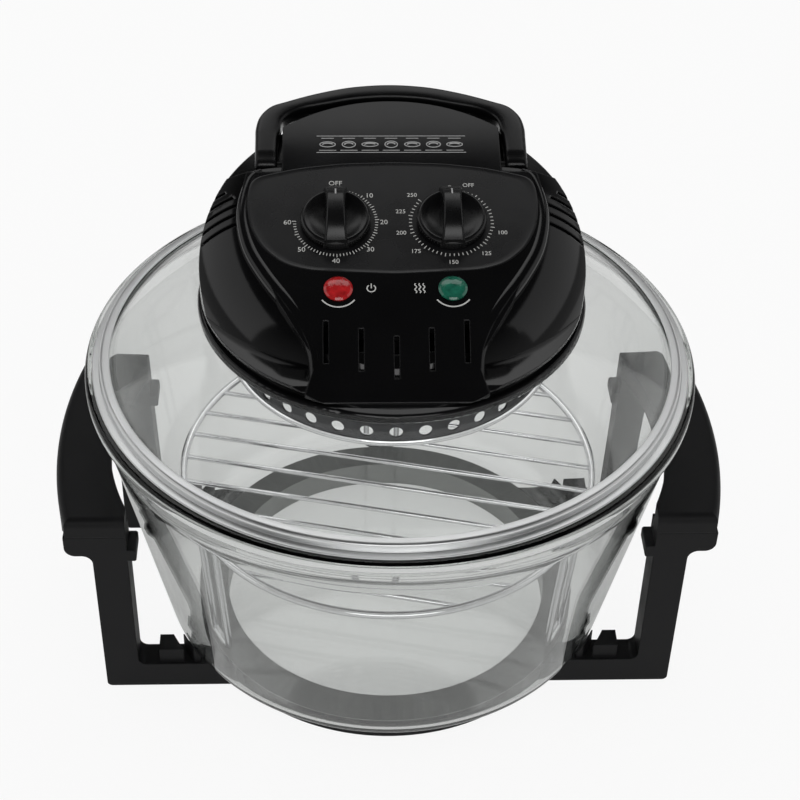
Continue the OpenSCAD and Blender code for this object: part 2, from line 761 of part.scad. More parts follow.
// Pressed steel shield: roof over the lamp, perforated skirt and clamping flange.
module heat_shield() color("#3c3d40") difference() {
  union() {
    ring(skirt_r, 9, roof_z, roof_z + shield_t);
    ring(skirt_r, skirt_r - shield_t, skirt_z, clamp_z + shield_t);
    ring(lid_hole_r + 7, skirt_r - 0.01, clamp_z, clamp_z + shield_t);
  }
  for (i = [0:hole_count - 1]) rotate(i * 360 / hole_count)
    translate([skirt_r - 4, 0, skirt_z + bead_d / 2 + hole_d / 2 + 1.2]) rotate([0, 90, 0])
      cylinder(h = 8, r = hole_d / 2, $fn = 24);
  for (a = [0:90:270]) rotate(a) translate([50, 0, roof_z - 1])
    cylinder(h = 4, r = screw_r + join_gap, $fn = 24);
}

module shield_bead() color("silver") difference() {
  torus(skirt_r - shield_t / 2, bead_d, skirt_z);
  ring(skirt_r, skirt_r - shield_t, skirt_z, skirt_z + bead_d);
}

module guard_grille() color("silver") {
  guard_z = skirt_z - 0.6;
  for (r = [14:14:70]) torus(r, guard_wire, guard_z);
  for (a = [0:60:300]) rotate(a)
    rod([13, 0, guard_z - guard_wire * 0.7],
      [skirt_r - shield_t / 2 - bead_d / 2, 0, guard_z - guard_wire * 0.7], guard_wire);
}

module halogen_lamp() color("#e9e4d8") {
  translate([0, 0, lamp_z]) rotate([0, 0, 110]) rotate_extrude(angle = 320)
    translate([lamp_r, 0]) circle(lamp_d / 2, $fn = 32);
}

module lamp_caps() color("white") for (a = [70, 102]) rotate(a) {
  translate([0, 0, lamp_z]) rotate_extrude(angle = 8) translate([lamp_r, 0]) circle(lamp_d / 2 + 1, $fn = 32);
  rotate(4) translate([lamp_r, 0, lamp_z]) cylinder(h = roof_z - lamp_z, r = 3.5, $fn = 32);
}

module lamp_clips() color("silver") for (a = [180, 270, 0]) rotate(a) difference() {
  translate([lamp_r - lamp_d / 2 - 1, -3, lamp_z - 1]) cube([lamp_d + 2, 6, roof_z - lamp_z + 1]);
  translate([lamp_r, 0, lamp_z]) rotate([90, 0, 0]) cylinder(h = 8, r = lamp_d / 2 + 0.15, center = true, $fn = 32);
  translate([lamp_r - lamp_d / 2, -4, lamp_z - 2]) cube([lamp_d, 8, roof_z - lamp_z + 1]);
}

module shield_screws() color("silver") for (a = [0:90:270]) rotate(a)
  translate([50, 0, roof_z]) screw_up(7.5);

// ---------- motor, fans ----------

module motor_stator() color("#6e6f73") translate([0, 0, stack_z]) difference() {
  linear_extrude(stack_h) {
    round_square(-22, -stack_y, 22, stack_y, 3);
    translate([21, -9]) square([23, 18]);
    round_square(40, -stack_y, 48, stack_y, 2);
    for (s = [-1, 1]) translate([20, s * (stack_y - 3) - 3]) square([22, 6]);
  }
  translate([0, 0, -1]) cylinder(h = stack_h + 2, r = rotor_r + air_gap);
}

module motor_coil() color("#b5622e") translate([31, 0, stack_z + stack_h / 2]) difference() {
  cube([16, 25, stack_h + 5], center = true);
  cube([20, 18.1, stack_h + 0.1], center = true);
}

module lower_bracket() color("silver") difference() {
  union() {
    translate([-bracket_w / 2, -bracket_foot - bracket_t, stack_z - bracket_t])
      cube([bracket_w, 2 * (bracket_foot + bracket_t), bracket_t]);
    for (s = [-1, 1]) translate([-bracket_w / 2, s * (bracket_foot + bracket_t / 2) - bracket_t / 2, well_floor])
      cube([bracket_w, bracket_t, stack_z - well_floor]);
  }
  translate([0, 0, stack_z - 5]) cylinder(h = 10, r = 5);
}

module upper_bracket() color("silver") difference() {
  union() {
    translate([-bracket_w / 2, -stack_y - bracket_t - 0.2, stack_z + stack_h])
      cube([bracket_w, 2 * (stack_y + bracket_t + 0.2), bracket_t]);
    for (s = [-1, 1]) translate([-bracket_w / 2, s * (stack_y + 0.2 + bracket_t / 2) - bracket_t / 2, stack_z])
      cube([bracket_w, bracket_t, stack_h + 1]);
  }
  translate([0, 0, stack_z + stack_h - 1]) cylinder(h = 5, r = 5);
}

module motor_bearings() color("#b08d4a")
  for (z = [stack_z - bracket_t, stack_z + stack_h]) ring(5, shaft_r + run_fit, z, z + bracket_t);

module motor_shaft() color("silver")
  translate([0, 0, fan_z - fan_h / 2 - 2]) cylinder(h = stack_z + stack_h + bracket_t + 1 - fan_z + fan_h / 2 + 2, r = shaft_r);

module rotor_core() color("#8a8b8f") ring(rotor_r, shaft_r, stack_z + 0.8, stack_z + stack_h - 0.8);

// A fan wheel: hub, disc and curved blades.
module fan_wheel(r, h, n, hub_r, z, disc_z, bend) translate([0, 0, z]) {
  difference() {
    union() {
      cylinder(h = h, r = hub_r);
      translate([0, 0, disc_z]) cylinder(h = 1, r = r - 1);
      for (i = [0:n - 1]) rotate(i * 360 / n) intersection() {
        translate([hub_r - 2.6 + bend, 0, 0.3]) difference() {
          cylinder(h = h - 0.8, r = bend);
          translate([0, 0, -1]) cylinder(h = h + 2, r = bend - 1);
        }
        translate([0, 0, -1]) cube([r, r, h + 2]);
        translate([0, 0, -1]) cylinder(h = h + 2, r = r);
      }
    }
    translate([0, 0, -1]) cylinder(h = h + 2, r = shaft_r);
  }
}

module cooling_fan() color("#c9c9c4")
  fan_wheel(cool_r, cool_h, cool_blades, 7, cool_z, cool_h - 1, 30);
module hot_air_fan() color("#a9abae")
  fan_wheel(fan_r, fan_h, fan_blades, 7, fan_z - fan_h / 2, fan_h - 1, 28);

module fan_nut() color("#c8a24a") translate([0, 0, fan_z - fan_h / 2 - 2]) difference() {
  cylinder(h = 2, r = 5, $fn = 6);
  translate([0, 0, -1]) cylinder(h = 4, r = shaft_r);
}

// ---------- controls ----------

// A control unit under the panel with a threaded neck through the fascia.
module control_unit(w, h) difference() {
  union() {
    translate([-w / 2, -w / 2, -unit_drop - h]) cube([w, w, h]);
    translate([0, 0, -unit_drop - 1]) cylinder(h = unit_drop + 1.4, r = spindle_r + 2.6);
  }
  translate([0, 0, -unit_drop - h + 4]) cylinder(h = reach, r = spindle_r + run_fit);
}

module timer_unit() color("#d9d6cc") on_panel() translate([-knob_u, knob_v, 0]) control_unit(38, 18);
module thermostat() color("#d9d6cc") on_panel() translate([knob_u, knob_v, 0]) control_unit(32, 15);

module spindle(h) translate([0, 0, -unit_drop - h + 4.5])
  cylinder(h = unit_drop + h - 4.5 + knob_h - 4, r = spindle_r);
module timer_spindle() color("#c8a24a") on_panel() translate([-knob_u, knob_v, 0]) spindle(18);
module thermostat_spindle() color("#c8a24a") on_panel() translate([knob_u, knob_v, 0]) spindle(15);

// A knob: shallow disc with scooped flanks and a grip bar across it.
module knob() difference() {
  union() {
    translate([0, 0, knob_gap]) cylinder(h = knob_disc_h - 1, r = knob_d / 2);
    translate([0, 0, knob_gap + knob_disc_h - 1]) cylinder(h = 1, r1 = knob_d / 2, r2 = knob_d / 2 - 1);
    intersection() {
      translate([0, 0, knob_gap]) cylinder(h = knob_h, r = knob_d / 2 - 0.6);
      rotate([90, 0, 0]) linear_extrude(knob_d, center = true)
        round_square(-knob_bar_w / 2, knob_gap + 1, knob_bar_w / 2, knob_h, 2);
      translate([0, 0, knob_h - 60]) rotate([0, 90, 0]) cylinder(h = knob_d, r = 60, center = true, $fn = 180);
    }
  }
  translate([0, 0, -1]) cylinder(h = knob_h - 3, r = spindle_r);
  translate([-0.6, knob_d / 2 - 7, knob_h - 2]) cube([1.2, 8, 4]);
}

module time_knob() color(black) on_panel() translate([-knob_u, knob_v, 0]) knob();
module heat_knob() color(black) on_panel() translate([knob_u, knob_v, 0]) knob();

// A signal lens: low domed cap with a stem through the fascia.
module lens(u) on_panel() translate([u, lens_v, 0]) difference() {
  union() {
    cylinder(h = 1, r = lens_d / 2);
    intersection() {
      translate([0, 0, 3.2 - lens_d]) sphere(lens_d);
      cylinder(h = 4, r = lens_d / 2 - 0.8);
    }
    translate([0, 0, -8]) cylinder(h = 8.5, r = lens_d / 2 - 2);
  }
  translate([0, 0, -9]) cylinder(h = 8.5, r = 3.4);
}

module power_lens() color("#c0161c") lens(-lens_u);
module heat_lens() color("#14694a") lens(lens_u);

module indicator_bulbs() color("#f2d9b0") on_panel() for (s = [-1, 1]) translate([s * lens_u, lens_v, -14]) {
  cylinder(h = 12, r = 2.6, $fn = 24);
  difference() {
    translate([0, 0, 1]) cylinder(h = 5, r = lens_d / 2 - 2, $fn = 48);
    translate([0, 0, -1]) cylinder(h = 9, r = 2.6, $fn = 24);
  }
}

// Snap switch under the handle's pivot; its lever lies under the plunger.
module safety_switch() color("#b9b4a6") on_panel() {
  top = -trough_w - case_wall;
  translate([plunger_u + 5, pivot_v - 11, top - 16]) cube([7, 16, 16]);
  translate([plunger_u - 2.5, pivot_v - 3, top - 9.4]) cube([8, 6, 0.8]);
}

module terminal_block() color("#e8e3d5") translate([-14, 54, base_flange_z + base_t]) difference() {
  cube([28, 14, 12]);
  for (i = [0:2]) translate([5 + i * 9, -1, 6]) rotate([-90, 0, 0]) cylinder(h = 16, r = 1.8, $fn = 24);
  for (i = [0:2]) translate([5 + i * 9, 7, 6]) cylinder(h = 8, r = 2, $fn = 24);
}

module thermal_cutout() color("#b9b4a6") translate([-36, 36, well_floor + 8]) {
  translate([0, 0, -8]) cylinder(h = 5, r = 6);
  translate([-4, -1, -4]) cube([2, 2, 4]);
  translate([2, -1, -4]) cube([2, 2, 4]);
}

// ---------- carry handle ----------

module pivot_pins() color("silver") on_panel() for (s = [-1, 1])
  translate([s * (plateau_w / 2 - case_wall - 1.5), pivot_v, pivot_w]) rotate([0, s * 90, 0]) {
    cylinder(h = case_wall + 1.5 + bail_gap + arm_w - 0.5, r = pin_r);
    cylinder(h = 1.5, r = pin_r + 1.5);
  }

// Plan of the folded handle: two arms and a bowed cross bar.
module bail_plan() {
  out = plateau_w / 2 + bail_gap + arm_w;
  turn = 22;
  end_v = plateau_v + bail_gap - 1 + bail_bar_w;
  difference() {
    intersection() {
      translate([-out, pivot_v]) square([2 * out, reach]);
      translate([0, end_v - 125 - bail_bar_w]) circle(125 + bail_bar_w, $fn = 180);
      union() {
        translate([-out, 0]) square([2 * out, end_v - 11 - turn]);
        translate([-out + turn, 0]) square([2 * (out - turn), reach]);
        for (s = [-1, 1]) translate([s * (out - turn), end_v - 11 - turn]) circle(turn);
      }
    }
    plateau_outline(bail_gap);
  }
}

// Cam on the left hub: it lets the switch plunger rise evenly as the handle comes up.
module cam_disc(h) linear_extrude(h) polygon(concat(
  [for (a = [145:5:310]) cam_radius(270 - a) * [cos(a), sin(a)]],
  [for (a = [330:20:490]) bail_t * [cos(a), sin(a)]]));
function cam_radius(a) = cam_start - switch_stroke * max(0, min(a, bail_swing)) / bail_swing;

module carry_handle() color(black) on_panel() difference() {
  union() {
    translate([0, 0, pivot_w - bail_t / 2]) intersection() {
      linear_extrude(bail_t) bail_plan();
      translate([-reach, pivot_v - 1, 0]) cube([2 * reach, reach, reach]);
    }
    for (s = [-1, 1]) translate([s * arm_mid, pivot_v, pivot_w]) rotate([0, 90, 0])
      cylinder(h = arm_w, r = bail_t / 2, center = true);
  }
  for (s = [-1, 1]) translate([s * arm_mid, pivot_v, pivot_w]) rotate([0, 90, 0])
    cylinder(h = arm_w + 20, r = pin_r + run_fit, center = true);
  translate([plunger_u - 2.6, pivot_v, pivot_w]) rotate([90, 0, 90]) difference() {
    translate([-bail_t, -bail_t, 0]) cube([bail_t + 3, bail_t + 3, 5.2]);
    translate([0, 0, -1]) cam_disc(7.2);
  }
}

module switch_plunger() color("#e8e3d5") on_panel() {
  tip = pivot_w - cam_start - 0.1;
  low = -trough_w - case_wall - 8.4;
  translate([plunger_u, pivot_v, low]) cylinder(h = tip - plunger_r - low, r = plunger_r);
  translate([plunger_u, pivot_v, tip - plunger_r]) sphere(plunger_r, $fn = 32);
}

// ---------- drawing ----------

base_ring();
front_left_leg();
front_right_leg();
rear_left_leg();
rear_right_leg();
left_grip();
right_grip();
rubber_feet();
grip_screws();
glass_bowl();
rack_grid();
rack_legs();
lid_glass();
lid_rim();
rim_seal();
lower_gasket();
upper_gasket();
head_base();
head_casing();
control_fascia();
cord_gland();
casing_screws();
heat_shield();
shield_bead();
guard_grille();
halogen_lamp();
lamp_caps();
lamp_clips();
shield_screws();
motor_stator();
motor_coil();
lower_bracket();
upper_bracket();
motor_bearings();
timer_unit();
thermostat();
power_lens();
heat_lens();
indicator_bulbs();
safety_switch();
terminal_block();
thermal_cutout();
pivot_pins();
carry_handle();
switch_plunger();
time_knob();
timer_spindle();
heat_knob();
thermostat_spindle();
motor_shaft();
rotor_core();
cooling_fan();
hot_air_fan();
fan_nut();
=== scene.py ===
"""Looks of a halogen oven: glass bowl and lid, black stand and head, chrome wires, dials and lamps.

Run as a script. All sizes are in metres, in the frame's own axes: X to the right, Y to the back, Z
up."""

import math

import bmesh
import bpy
import numpy as np
from bpy.props import FloatProperty, FloatVectorProperty, PointerProperty
from mathutils import Matrix, Vector


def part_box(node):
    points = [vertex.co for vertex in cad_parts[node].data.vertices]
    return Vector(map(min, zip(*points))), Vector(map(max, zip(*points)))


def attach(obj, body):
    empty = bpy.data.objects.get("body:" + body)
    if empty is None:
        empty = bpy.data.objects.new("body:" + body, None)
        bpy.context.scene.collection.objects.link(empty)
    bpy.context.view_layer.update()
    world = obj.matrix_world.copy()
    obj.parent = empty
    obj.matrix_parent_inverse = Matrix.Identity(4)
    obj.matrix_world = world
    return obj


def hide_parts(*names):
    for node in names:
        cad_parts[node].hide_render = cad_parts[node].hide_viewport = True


bl_info = {
    "name": "Halogen Oven Looks",
    "version": (1, 0, 0),
    "blender": (4, 5, 0),
    "location": "3D View > Sidebar > Oven",
    "description": "Dresses the packed halogen oven with glass, metal, plastics and dial prints",
    "category": "Object",
}

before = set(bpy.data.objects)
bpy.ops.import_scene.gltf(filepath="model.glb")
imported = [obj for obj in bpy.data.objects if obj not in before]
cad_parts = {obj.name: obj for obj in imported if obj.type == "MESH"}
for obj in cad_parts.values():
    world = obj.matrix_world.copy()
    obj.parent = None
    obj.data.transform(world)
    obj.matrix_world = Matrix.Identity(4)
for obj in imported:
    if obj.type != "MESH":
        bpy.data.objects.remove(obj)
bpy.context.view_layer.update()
MM = 0.001
BASE_OPENING = 0.098  # radius of the hole in the base ring
BOWL_FLOOR_R, BOWL_RIM_R = 0.132, 0.168
RIM_SEAT_Z = 0.194
LID_HOLE_R = 0.092
RACK_TURN = math.radians(-13)
LENS_U, LENS_V, LENS_R = 0.0295, -0.046, 0.0075
STRIP_V = 0.0512


# ---------- surfaces from numbers ----------


def shell(points, wrap_u=False, wrap_v=False):
    """Points and faces of a grid of points (u, v, 3). Neighbouring points span four-sided faces; a wrapped
    direction closes on itself. Rows that shrink to a point become a pole."""
    n, m = points.shape[:2]
    i = np.arange(n if wrap_u else n - 1)[:, None]
    j = np.arange(m if wrap_v else m - 1)[None, :]
    a, b = i * m + j, ((i + 1) % n) * m + j
    c, d = ((i + 1) % n) * m + (j + 1) % m, i * m + (j + 1) % m
    quads = np.stack(np.broadcast_arrays(a, b, c, d), -1).reshape(-1, 4)
    return points.reshape(-1, 3), quads


def capped(rings):
    """Stack of closed rings with both ends drawn together to a pole at the ring's middle."""
    ends = rings[[0, -1]].mean(1, keepdims=True)
    return np.concatenate([np.broadcast_to(ends[:1], rings[:1].shape), rings,
                           np.broadcast_to(ends[1:], rings[:1].shape)])


def solid_object(name, parts, sharp=40.0):
    """Object of several closed shells (points, faces). Doubled points are merged, the faces are
    turned outwards by the sign of each shell's volume, and edges over the angle stay sharp."""
    mesh = bpy.data.meshes.new(name)
    verts, faces, start = [], [], 0
    for points, quads in parts:
        points = np.asarray(points, float)
        quads = np.asarray(quads)
        p = points[quads]
        mid = points.mean(0)
        normal = np.cross(p[:, 2] - p[:, 0], p[:, 3 % quads.shape[1]] - p[:, 1])
        if ((p.mean(1) - mid) * normal).sum() < 0:
            quads = quads[:, ::-1]
        verts.append(points)
        faces.extend((quads + start).tolist())
        start += len(points)
    mesh.from_pydata(np.concatenate(verts).tolist(), [], faces)
    bm = bmesh.new()
    bm.from_mesh(mesh)
    bmesh.ops.remove_doubles(bm, verts=bm.verts, dist=2e-6)
    bm.to_mesh(mesh)
    bm.free()
    mesh.validate()
    mesh.shade_smooth()
    mesh.set_sharp_from_angle(angle=math.radians(sharp))
    piece = bpy.data.objects.new(name, mesh)
    bpy.context.scene.collection.objects.link(piece)
    return piece


def turned(profile, steps=192):
    """Closed profile of (radius, height) turned about the vertical: x = r cos a, y = r sin a."""
    profile = np.asarray(profile, float)
    a = np.linspace(0, 2 * np.pi, steps, endpoint=False)
    r, z = profile[:, 0][:, None], profile[:, 1][:, None]
    points = np.stack(np.broadcast_arrays(r * np.cos(a), r * np.sin(a), z), -1)
    return shell(points, True, True)


def rounded(corners, radii, steps=6):
    """Closed outline with its corners rounded: each corner is replaced by a quadratic curve that
    leaves and meets the sides at the corner's radius."""
    p = np.asarray(corners, float)
    r = np.broadcast_to(np.asarray(radii, float), (len(p),))[:, None]
    before, after = np.roll(p, 1, 0) - p, np.roll(p, -1, 0) - p
    lb = np.linalg.norm(before, axis=1, keepdims=True)
    la = np.linalg.norm(after, axis=1, keepdims=True)
    start = p + before / lb * np.minimum(r, lb * 0.48)
    end = p + after / la * np.minimum(r, la * 0.48)
    t = np.linspace(0, 1, steps)[None, :, None]
    curve = (1 - t) ** 2 * start[:, None] + 2 * t * (1 - t) * p[:, None] + t**2 * end[:, None]
    return curve.reshape(-1, p.shape[1])


def wire(a, b, diameter, sides=16, bulge=4):
    """Straight round wire from a to b with rounded ends: circles whose radius follows a quarter
    of an ellipse at each end."""
    a, b = np.asarray(a, float), np.asarray(b, float)
    axis = b - a
    length = np.linalg.norm(axis)
    axis = axis / length
    side = np.cross(axis, (0, 0, 1) if abs(axis[2]) < 0.9 else (1, 0, 0))
    side /= np.linalg.norm(side)
    up = np.cross(axis, side)
    q = np.sin(np.linspace(0, np.pi / 2, bulge))
    r = diameter / 2
    reach = r * 0.4
    along = np.concatenate([reach * (1 - np.cos(np.linspace(0, np.pi / 2, bulge))),
                            length - reach * (1 - np.cos(np.linspace(np.pi / 2, 0, bulge)))])
    width = r * np.concatenate([q, q[::-1]])
    t = np.linspace(0, 2 * np.pi, sides, endpoint=False)
    ring = np.cos(t)[:, None] * side + np.sin(t)[:, None] * up
    points = a + along[:, None, None] * axis + width[:, None, None] * ring[None]
    return shell(points, False, True)


def wire_ring(radius, diameter, height, steps=192, sides=20, squash=1.0):
    """Ring of round wire: a circle of the wire's radius carried round the vertical."""
    t = np.linspace(0, 2 * np.pi, sides, endpoint=False)
    return turned(np.stack([radius + np.cos(t) * diameter / 2,
                            height + squash * np.sin(t) * diameter / 2], 1), steps)


def swept(path, outline, closed=False, up=(0, 0, 1)):
    """Outline (k, 2) carried along a path (n, 3). Its first axis lies across the path, level
    with the plane square to up, and its second axis along up."""
    path = np.asarray(path, float)
    ahead = np.roll(path, -1, 0) - np.roll(path, 1, 0)
    if not closed:
        ahead[0], ahead[-1] = path[1] - path[0], path[-1] - path[-2]
    ahead /= np.linalg.norm(ahead, axis=1, keepdims=True)
    across = np.cross(ahead, up)
    across /= np.linalg.norm(across, axis=1, keepdims=True)
    above = np.cross(across, ahead)
    outline = np.asarray(outline, float)
    if outline.ndim == 2:
        outline = np.broadcast_to(outline, (len(path), *outline.shape))
    points = (path[:, None] + outline[..., :1] * across[:, None] + outline[..., 1:] * above[:, None])
    if not closed:
        points = capped(points)
    return shell(points, closed, True)


def smooth_path(points, steps=8):
    """Curve through the given points: on each stretch a cubic whose slopes at the two points are
    half the step between their neighbours."""
    p = np.asarray(points, float)
    before = np.concatenate([2 * p[:1] - p[1:2], p[:-2]])
    after = np.concatenate([p[2:], 2 * p[-1:] - p[-2:-1]])
    a, b = p[:-1], p[1:]
    ma, mb = (b - before) / 2, (after - a) / 2
    t = np.linspace(0, 1, steps, endpoint=False)[None, :, None]
    curve = ((2 * t**3 - 3 * t**2 + 1) * a[:, None] + (t**3 - 2 * t**2 + t) * ma[:, None]
             + (-2 * t**3 + 3 * t**2) * b[:, None] + (t**3 - t**2) * mb[:, None])
    return np.concatenate([curve.reshape(-1, p.shape[1]), p[-1:]])


def shift_points(part, offset):
    return part[0] + np.asarray(offset), part[1]


# ---------- the sloping panel of the head ----------

PANEL_Z, PANEL_TILT = 0.2828, math.radians(17.4)
BEND_START, BEND_R, BEND_MORE = 0.046, 0.060, math.radians(16.0)


def on_panel(u, v, w=0.0):
    """Point of the top panel: u to the right, v up its slope, w out of it. In front of the bend's
    start the surface follows a circle through 16 degrees and then a steeper straight slope."""
    u, v, w = np.broadcast_arrays(np.asarray(u, float), np.asarray(v, float), np.asarray(w, float))
    past = np.maximum(-BEND_START - v, 0)
    turn = np.minimum(past / BEND_R, BEND_MORE)
    rest = past - turn * BEND_R
    vv = np.where(past > 0, -BEND_START - (BEND_R + w) * np.sin(turn) - rest * np.cos(turn), v)
    ww = np.where(past > 0, (BEND_R + w) * np.cos(turn) - BEND_R - rest * np.sin(turn), w)
    c, s = math.cos(PANEL_TILT), math.sin(PANEL_TILT)
    return np.stack([u, vv * c - ww * s, PANEL_Z + vv * s + ww * c], -1)


def panel_solid(part):
    """Moves a shell made in the panel's own axes to the panel."""
    p = part[0]
    c, s = math.cos(PANEL_TILT), math.sin(PANEL_TILT)
    return np.stack([p[:, 0], p[:, 1] * c - p[:, 2] * s, PANEL_Z + p[:, 1] * s + p[:, 2] * c], 1), part[1]


def stroke(u, v, width, lift=0.00006, thick=0.00008):
    """Thin printed line along points (u, v) of the panel: a flat band of the line's width."""
    u, v = np.asarray(u, float), np.asarray(v, float)
    du, dv = np.gradient(u), np.gradient(v)
    size = np.hypot(du, dv)
    nu, nv = -dv / size * width / 2, du / size * width / 2
    ring = np.stack([on_panel(u + nu, v + nv, lift), on_panel(u - nu, v - nv, lift),
                     on_panel(u - nu, v - nv, lift + thick), on_panel(u + nu, v + nv, lift + thick)], 1)
    return shell(capped(ring), False, True)


def arc_stroke(u, v, radius, start, stop, width, steps=24, lift=0.00006):
    a = np.radians(np.linspace(start, stop, steps))
    return stroke(u + radius * np.sin(a), v + radius * np.cos(a), width, lift)


def lettering(text, u, v, size, turn=0.0, lift=0.00006, thick=0.00008):
    """Printed digits: an outline font made a mesh, then laid on the panel point by point."""
    curve = bpy.data.curves.new("digits", "FONT")
    curve.body, curve.size, curve.align_x, curve.align_y = text, size, "CENTER", "CENTER"
    curve.resolution_u = 3
    curve.extrude = thick / 2
    holder = bpy.data.objects.new("digits", curve)
    bpy.context.scene.collection.objects.link(holder)
    mesh = holder.to_mesh()
    p = np.zeros(len(mesh.vertices) * 3)
    mesh.vertices.foreach_get("co", p)
    p = p.reshape(-1, 3)
    faces = [tuple(f.vertices) for f in mesh.polygons]
    holder.to_mesh_clear()
    bpy.data.objects.remove(holder)
    bpy.data.curves.remove(curve)
    c, s = math.cos(turn), math.sin(turn)
    return on_panel(u + p[:, 0] * c - p[:, 1] * s, v + p[:, 0] * s + p[:, 1] * c,
                    lift + thick / 2 + p[:, 2]), faces


def print_object(name, parts):
    """One object of many printed parts, each already facing out of the panel."""
    verts, faces, start = [], [], 0
    for points, these in parts:
        verts.append(np.asarray(points, float))
        faces.extend([[int(k) + start for k in f] for f in these])
        start += len(points)
    mesh = bpy.data.meshes.new(name)
    mesh.from_pydata(np.concatenate(verts).tolist(), [], faces)
    mesh.validate()
    piece = bpy.data.objects.new(name, mesh)
    bpy.context.scene.collection.objects.link(piece)
    return piece


# ---------- shader nodes ----------


def add_node(tree, kind, **given):
    """New node. Each name is one of its inputs, by number or with _ for a space, and gets a value
    or the link from another node's output."""
    made = tree.nodes.new(kind)
    for name, value in given.items():
        socket = made.inputs[int(name) if name.isdigit() else name.replace("_", " ")]
        if isinstance(value, bpy.types.NodeSocket):
            tree.links.new(value, socket)
        else:
            socket.default_value = value
    return made


def operation(tree, kind, first, second):
    """Output of a math node of the given kind on two values, each an output or a number."""
    made = add_node(tree, "ShaderNodeMath", **{"0": first, "1": second})
    made.operation = kind
    return made.outputs[0]


def colours_between(tree, by, low, high, start=0.0, stop=1.0):
    """Output of a ramp between two colours, from the place start to the place stop."""
    ramp = add_node(tree, "ShaderNodeValToRGB", Fac=by)
    first, last = ramp.color_ramp.elements
    first.position, last.position = start, stop
    first.color, last.color = (*low, 1), (*high, 1)
    return ramp.outputs[0]


def mixed(tree, share, first, second, output):
    """Mixes two shaders by a share and feeds the result to the output node."""
    blend = add_node(tree, "ShaderNodeMixShader", **{"0": share, "1": first.outputs[0],
                                                     "2": second.outputs[0]})
    tree.links.new(blend.outputs[0], tree.nodes[output].inputs["Surface"])


# ---------- finishes ----------


class Finish:
    """Node-based finish on object coordinates: a base colour with slight variation, a roughness
    that wanders between two values, and a fine bump."""

    def __init__(self, name, colour, rough=(0.3, 0.4), metallic=0.0, coat=0.0, coat_rough=0.03,
                 ior=1.5, vary=0.08, scale=60.0, bump=0.02, bump_scale=900.0, bump_depth=0.0002,
                 stretch=(1, 1, 1), detail=4.0):
        self.material = bpy.data.materials.new(name)
        self.material.use_nodes = True
        tree = self.tree = self.material.node_tree
        self.bsdf = bsdf = tree.nodes["Principled BSDF"]
        self.place = add_node(tree, "ShaderNodeTexCoord").outputs["Object"]
        bsdf.inputs["Metallic"].default_value = metallic
        bsdf.inputs["IOR"].default_value = ior
        if coat:
            bsdf.inputs["Coat Weight"].default_value = coat
            bsdf.inputs["Coat Roughness"].default_value = coat_rough
        stretched = add_node(tree, "ShaderNodeMapping", Vector=self.place, Scale=stretch).outputs[0]
        clouds = add_node(tree, "ShaderNodeTexNoise", Vector=stretched, Scale=scale, Detail=detail)
        self.clouds = clouds.outputs["Fac"]
        c = np.array(colour[:3], float)
        paint = colours_between(tree, self.clouds, c * (1 - vary), np.minimum(c * (1 + vary), 1), 0.3, 0.7)
        tree.links.new(paint, bsdf.inputs["Base Color"])
        span = add_node(tree, "ShaderNodeMapRange", Value=self.clouds, From_Min=0.3, From_Max=0.7,
                        To_Min=rough[0], To_Max=rough[1])
        tree.links.new(span.outputs[0], bsdf.inputs["Roughness"])
        if bump:
            grain = add_node(tree, "ShaderNodeTexNoise", Vector=stretched, Scale=bump_scale, Detail=2.0)
            self.dent = add_node(tree, "ShaderNodeBump", Height=grain.outputs["Fac"], Strength=bump,
                                 Distance=bump_depth)
            tree.links.new(self.dent.outputs[0], bsdf.inputs["Normal"])

    def soft_edges(self, radius):
        """Rounds sharp edges in the shading by the given radius."""
        edge = add_node(self.tree, "ShaderNodeBevel", Radius=radius)
        edge.samples = 4
        self.tree.links.new(edge.outputs[0], self.dent.inputs["Normal"])
        return self


def clear_glass(name, tint, edge_tint, deepest):
    """Clear glass: refraction with a faint tint that wanders a little and darkens where the wall
    is seen at a slant, and plain see-through for the lamps' rays, so that its shadow is light."""
    material = bpy.data.materials.new(name)
    material.use_nodes = True
    tree = material.node_tree
    tree.nodes.clear()
    add_node(tree, "ShaderNodeOutputMaterial")
    place = add_node(tree, "ShaderNodeTexCoord").outputs["Object"]
    clouds = add_node(tree, "ShaderNodeTexNoise", Vector=place, Scale=14.0, Detail=2.0).outputs["Fac"]
    slant = add_node(tree, "ShaderNodeLayerWeight", Blend=0.35).outputs["Facing"]
    deep = add_node(tree, "ShaderNodeMixRGB", Fac=slant, Color2=(deepest, deepest, deepest, 1),
                    Color1=colours_between(tree, clouds, tint, edge_tint))
    deep.blend_type = "MULTIPLY"
    span = add_node(tree, "ShaderNodeMapRange", Value=clouds, To_Min=0.0, To_Max=0.012)
    wave = add_node(tree, "ShaderNodeTexNoise", Vector=place, Scale=22.0, Detail=1.0)
    dent = add_node(tree, "ShaderNodeBump", Height=wave.outputs["Fac"], Strength=0.05, Distance=0.001)
    glass = add_node(tree, "ShaderNodeBsdfGlass", Color=deep.outputs[0], IOR=1.5,
                     Roughness=span.outputs[0], Normal=dent.outputs[0])
    clear = add_node(tree, "ShaderNodeBsdfTransparent", Color=(0.94, 0.95, 0.945, 1))
    ray = add_node(tree, "ShaderNodeLightPath")
    mixed(tree, ray.outputs["Is Shadow Ray"], glass, clear, "Material Output")
    return material


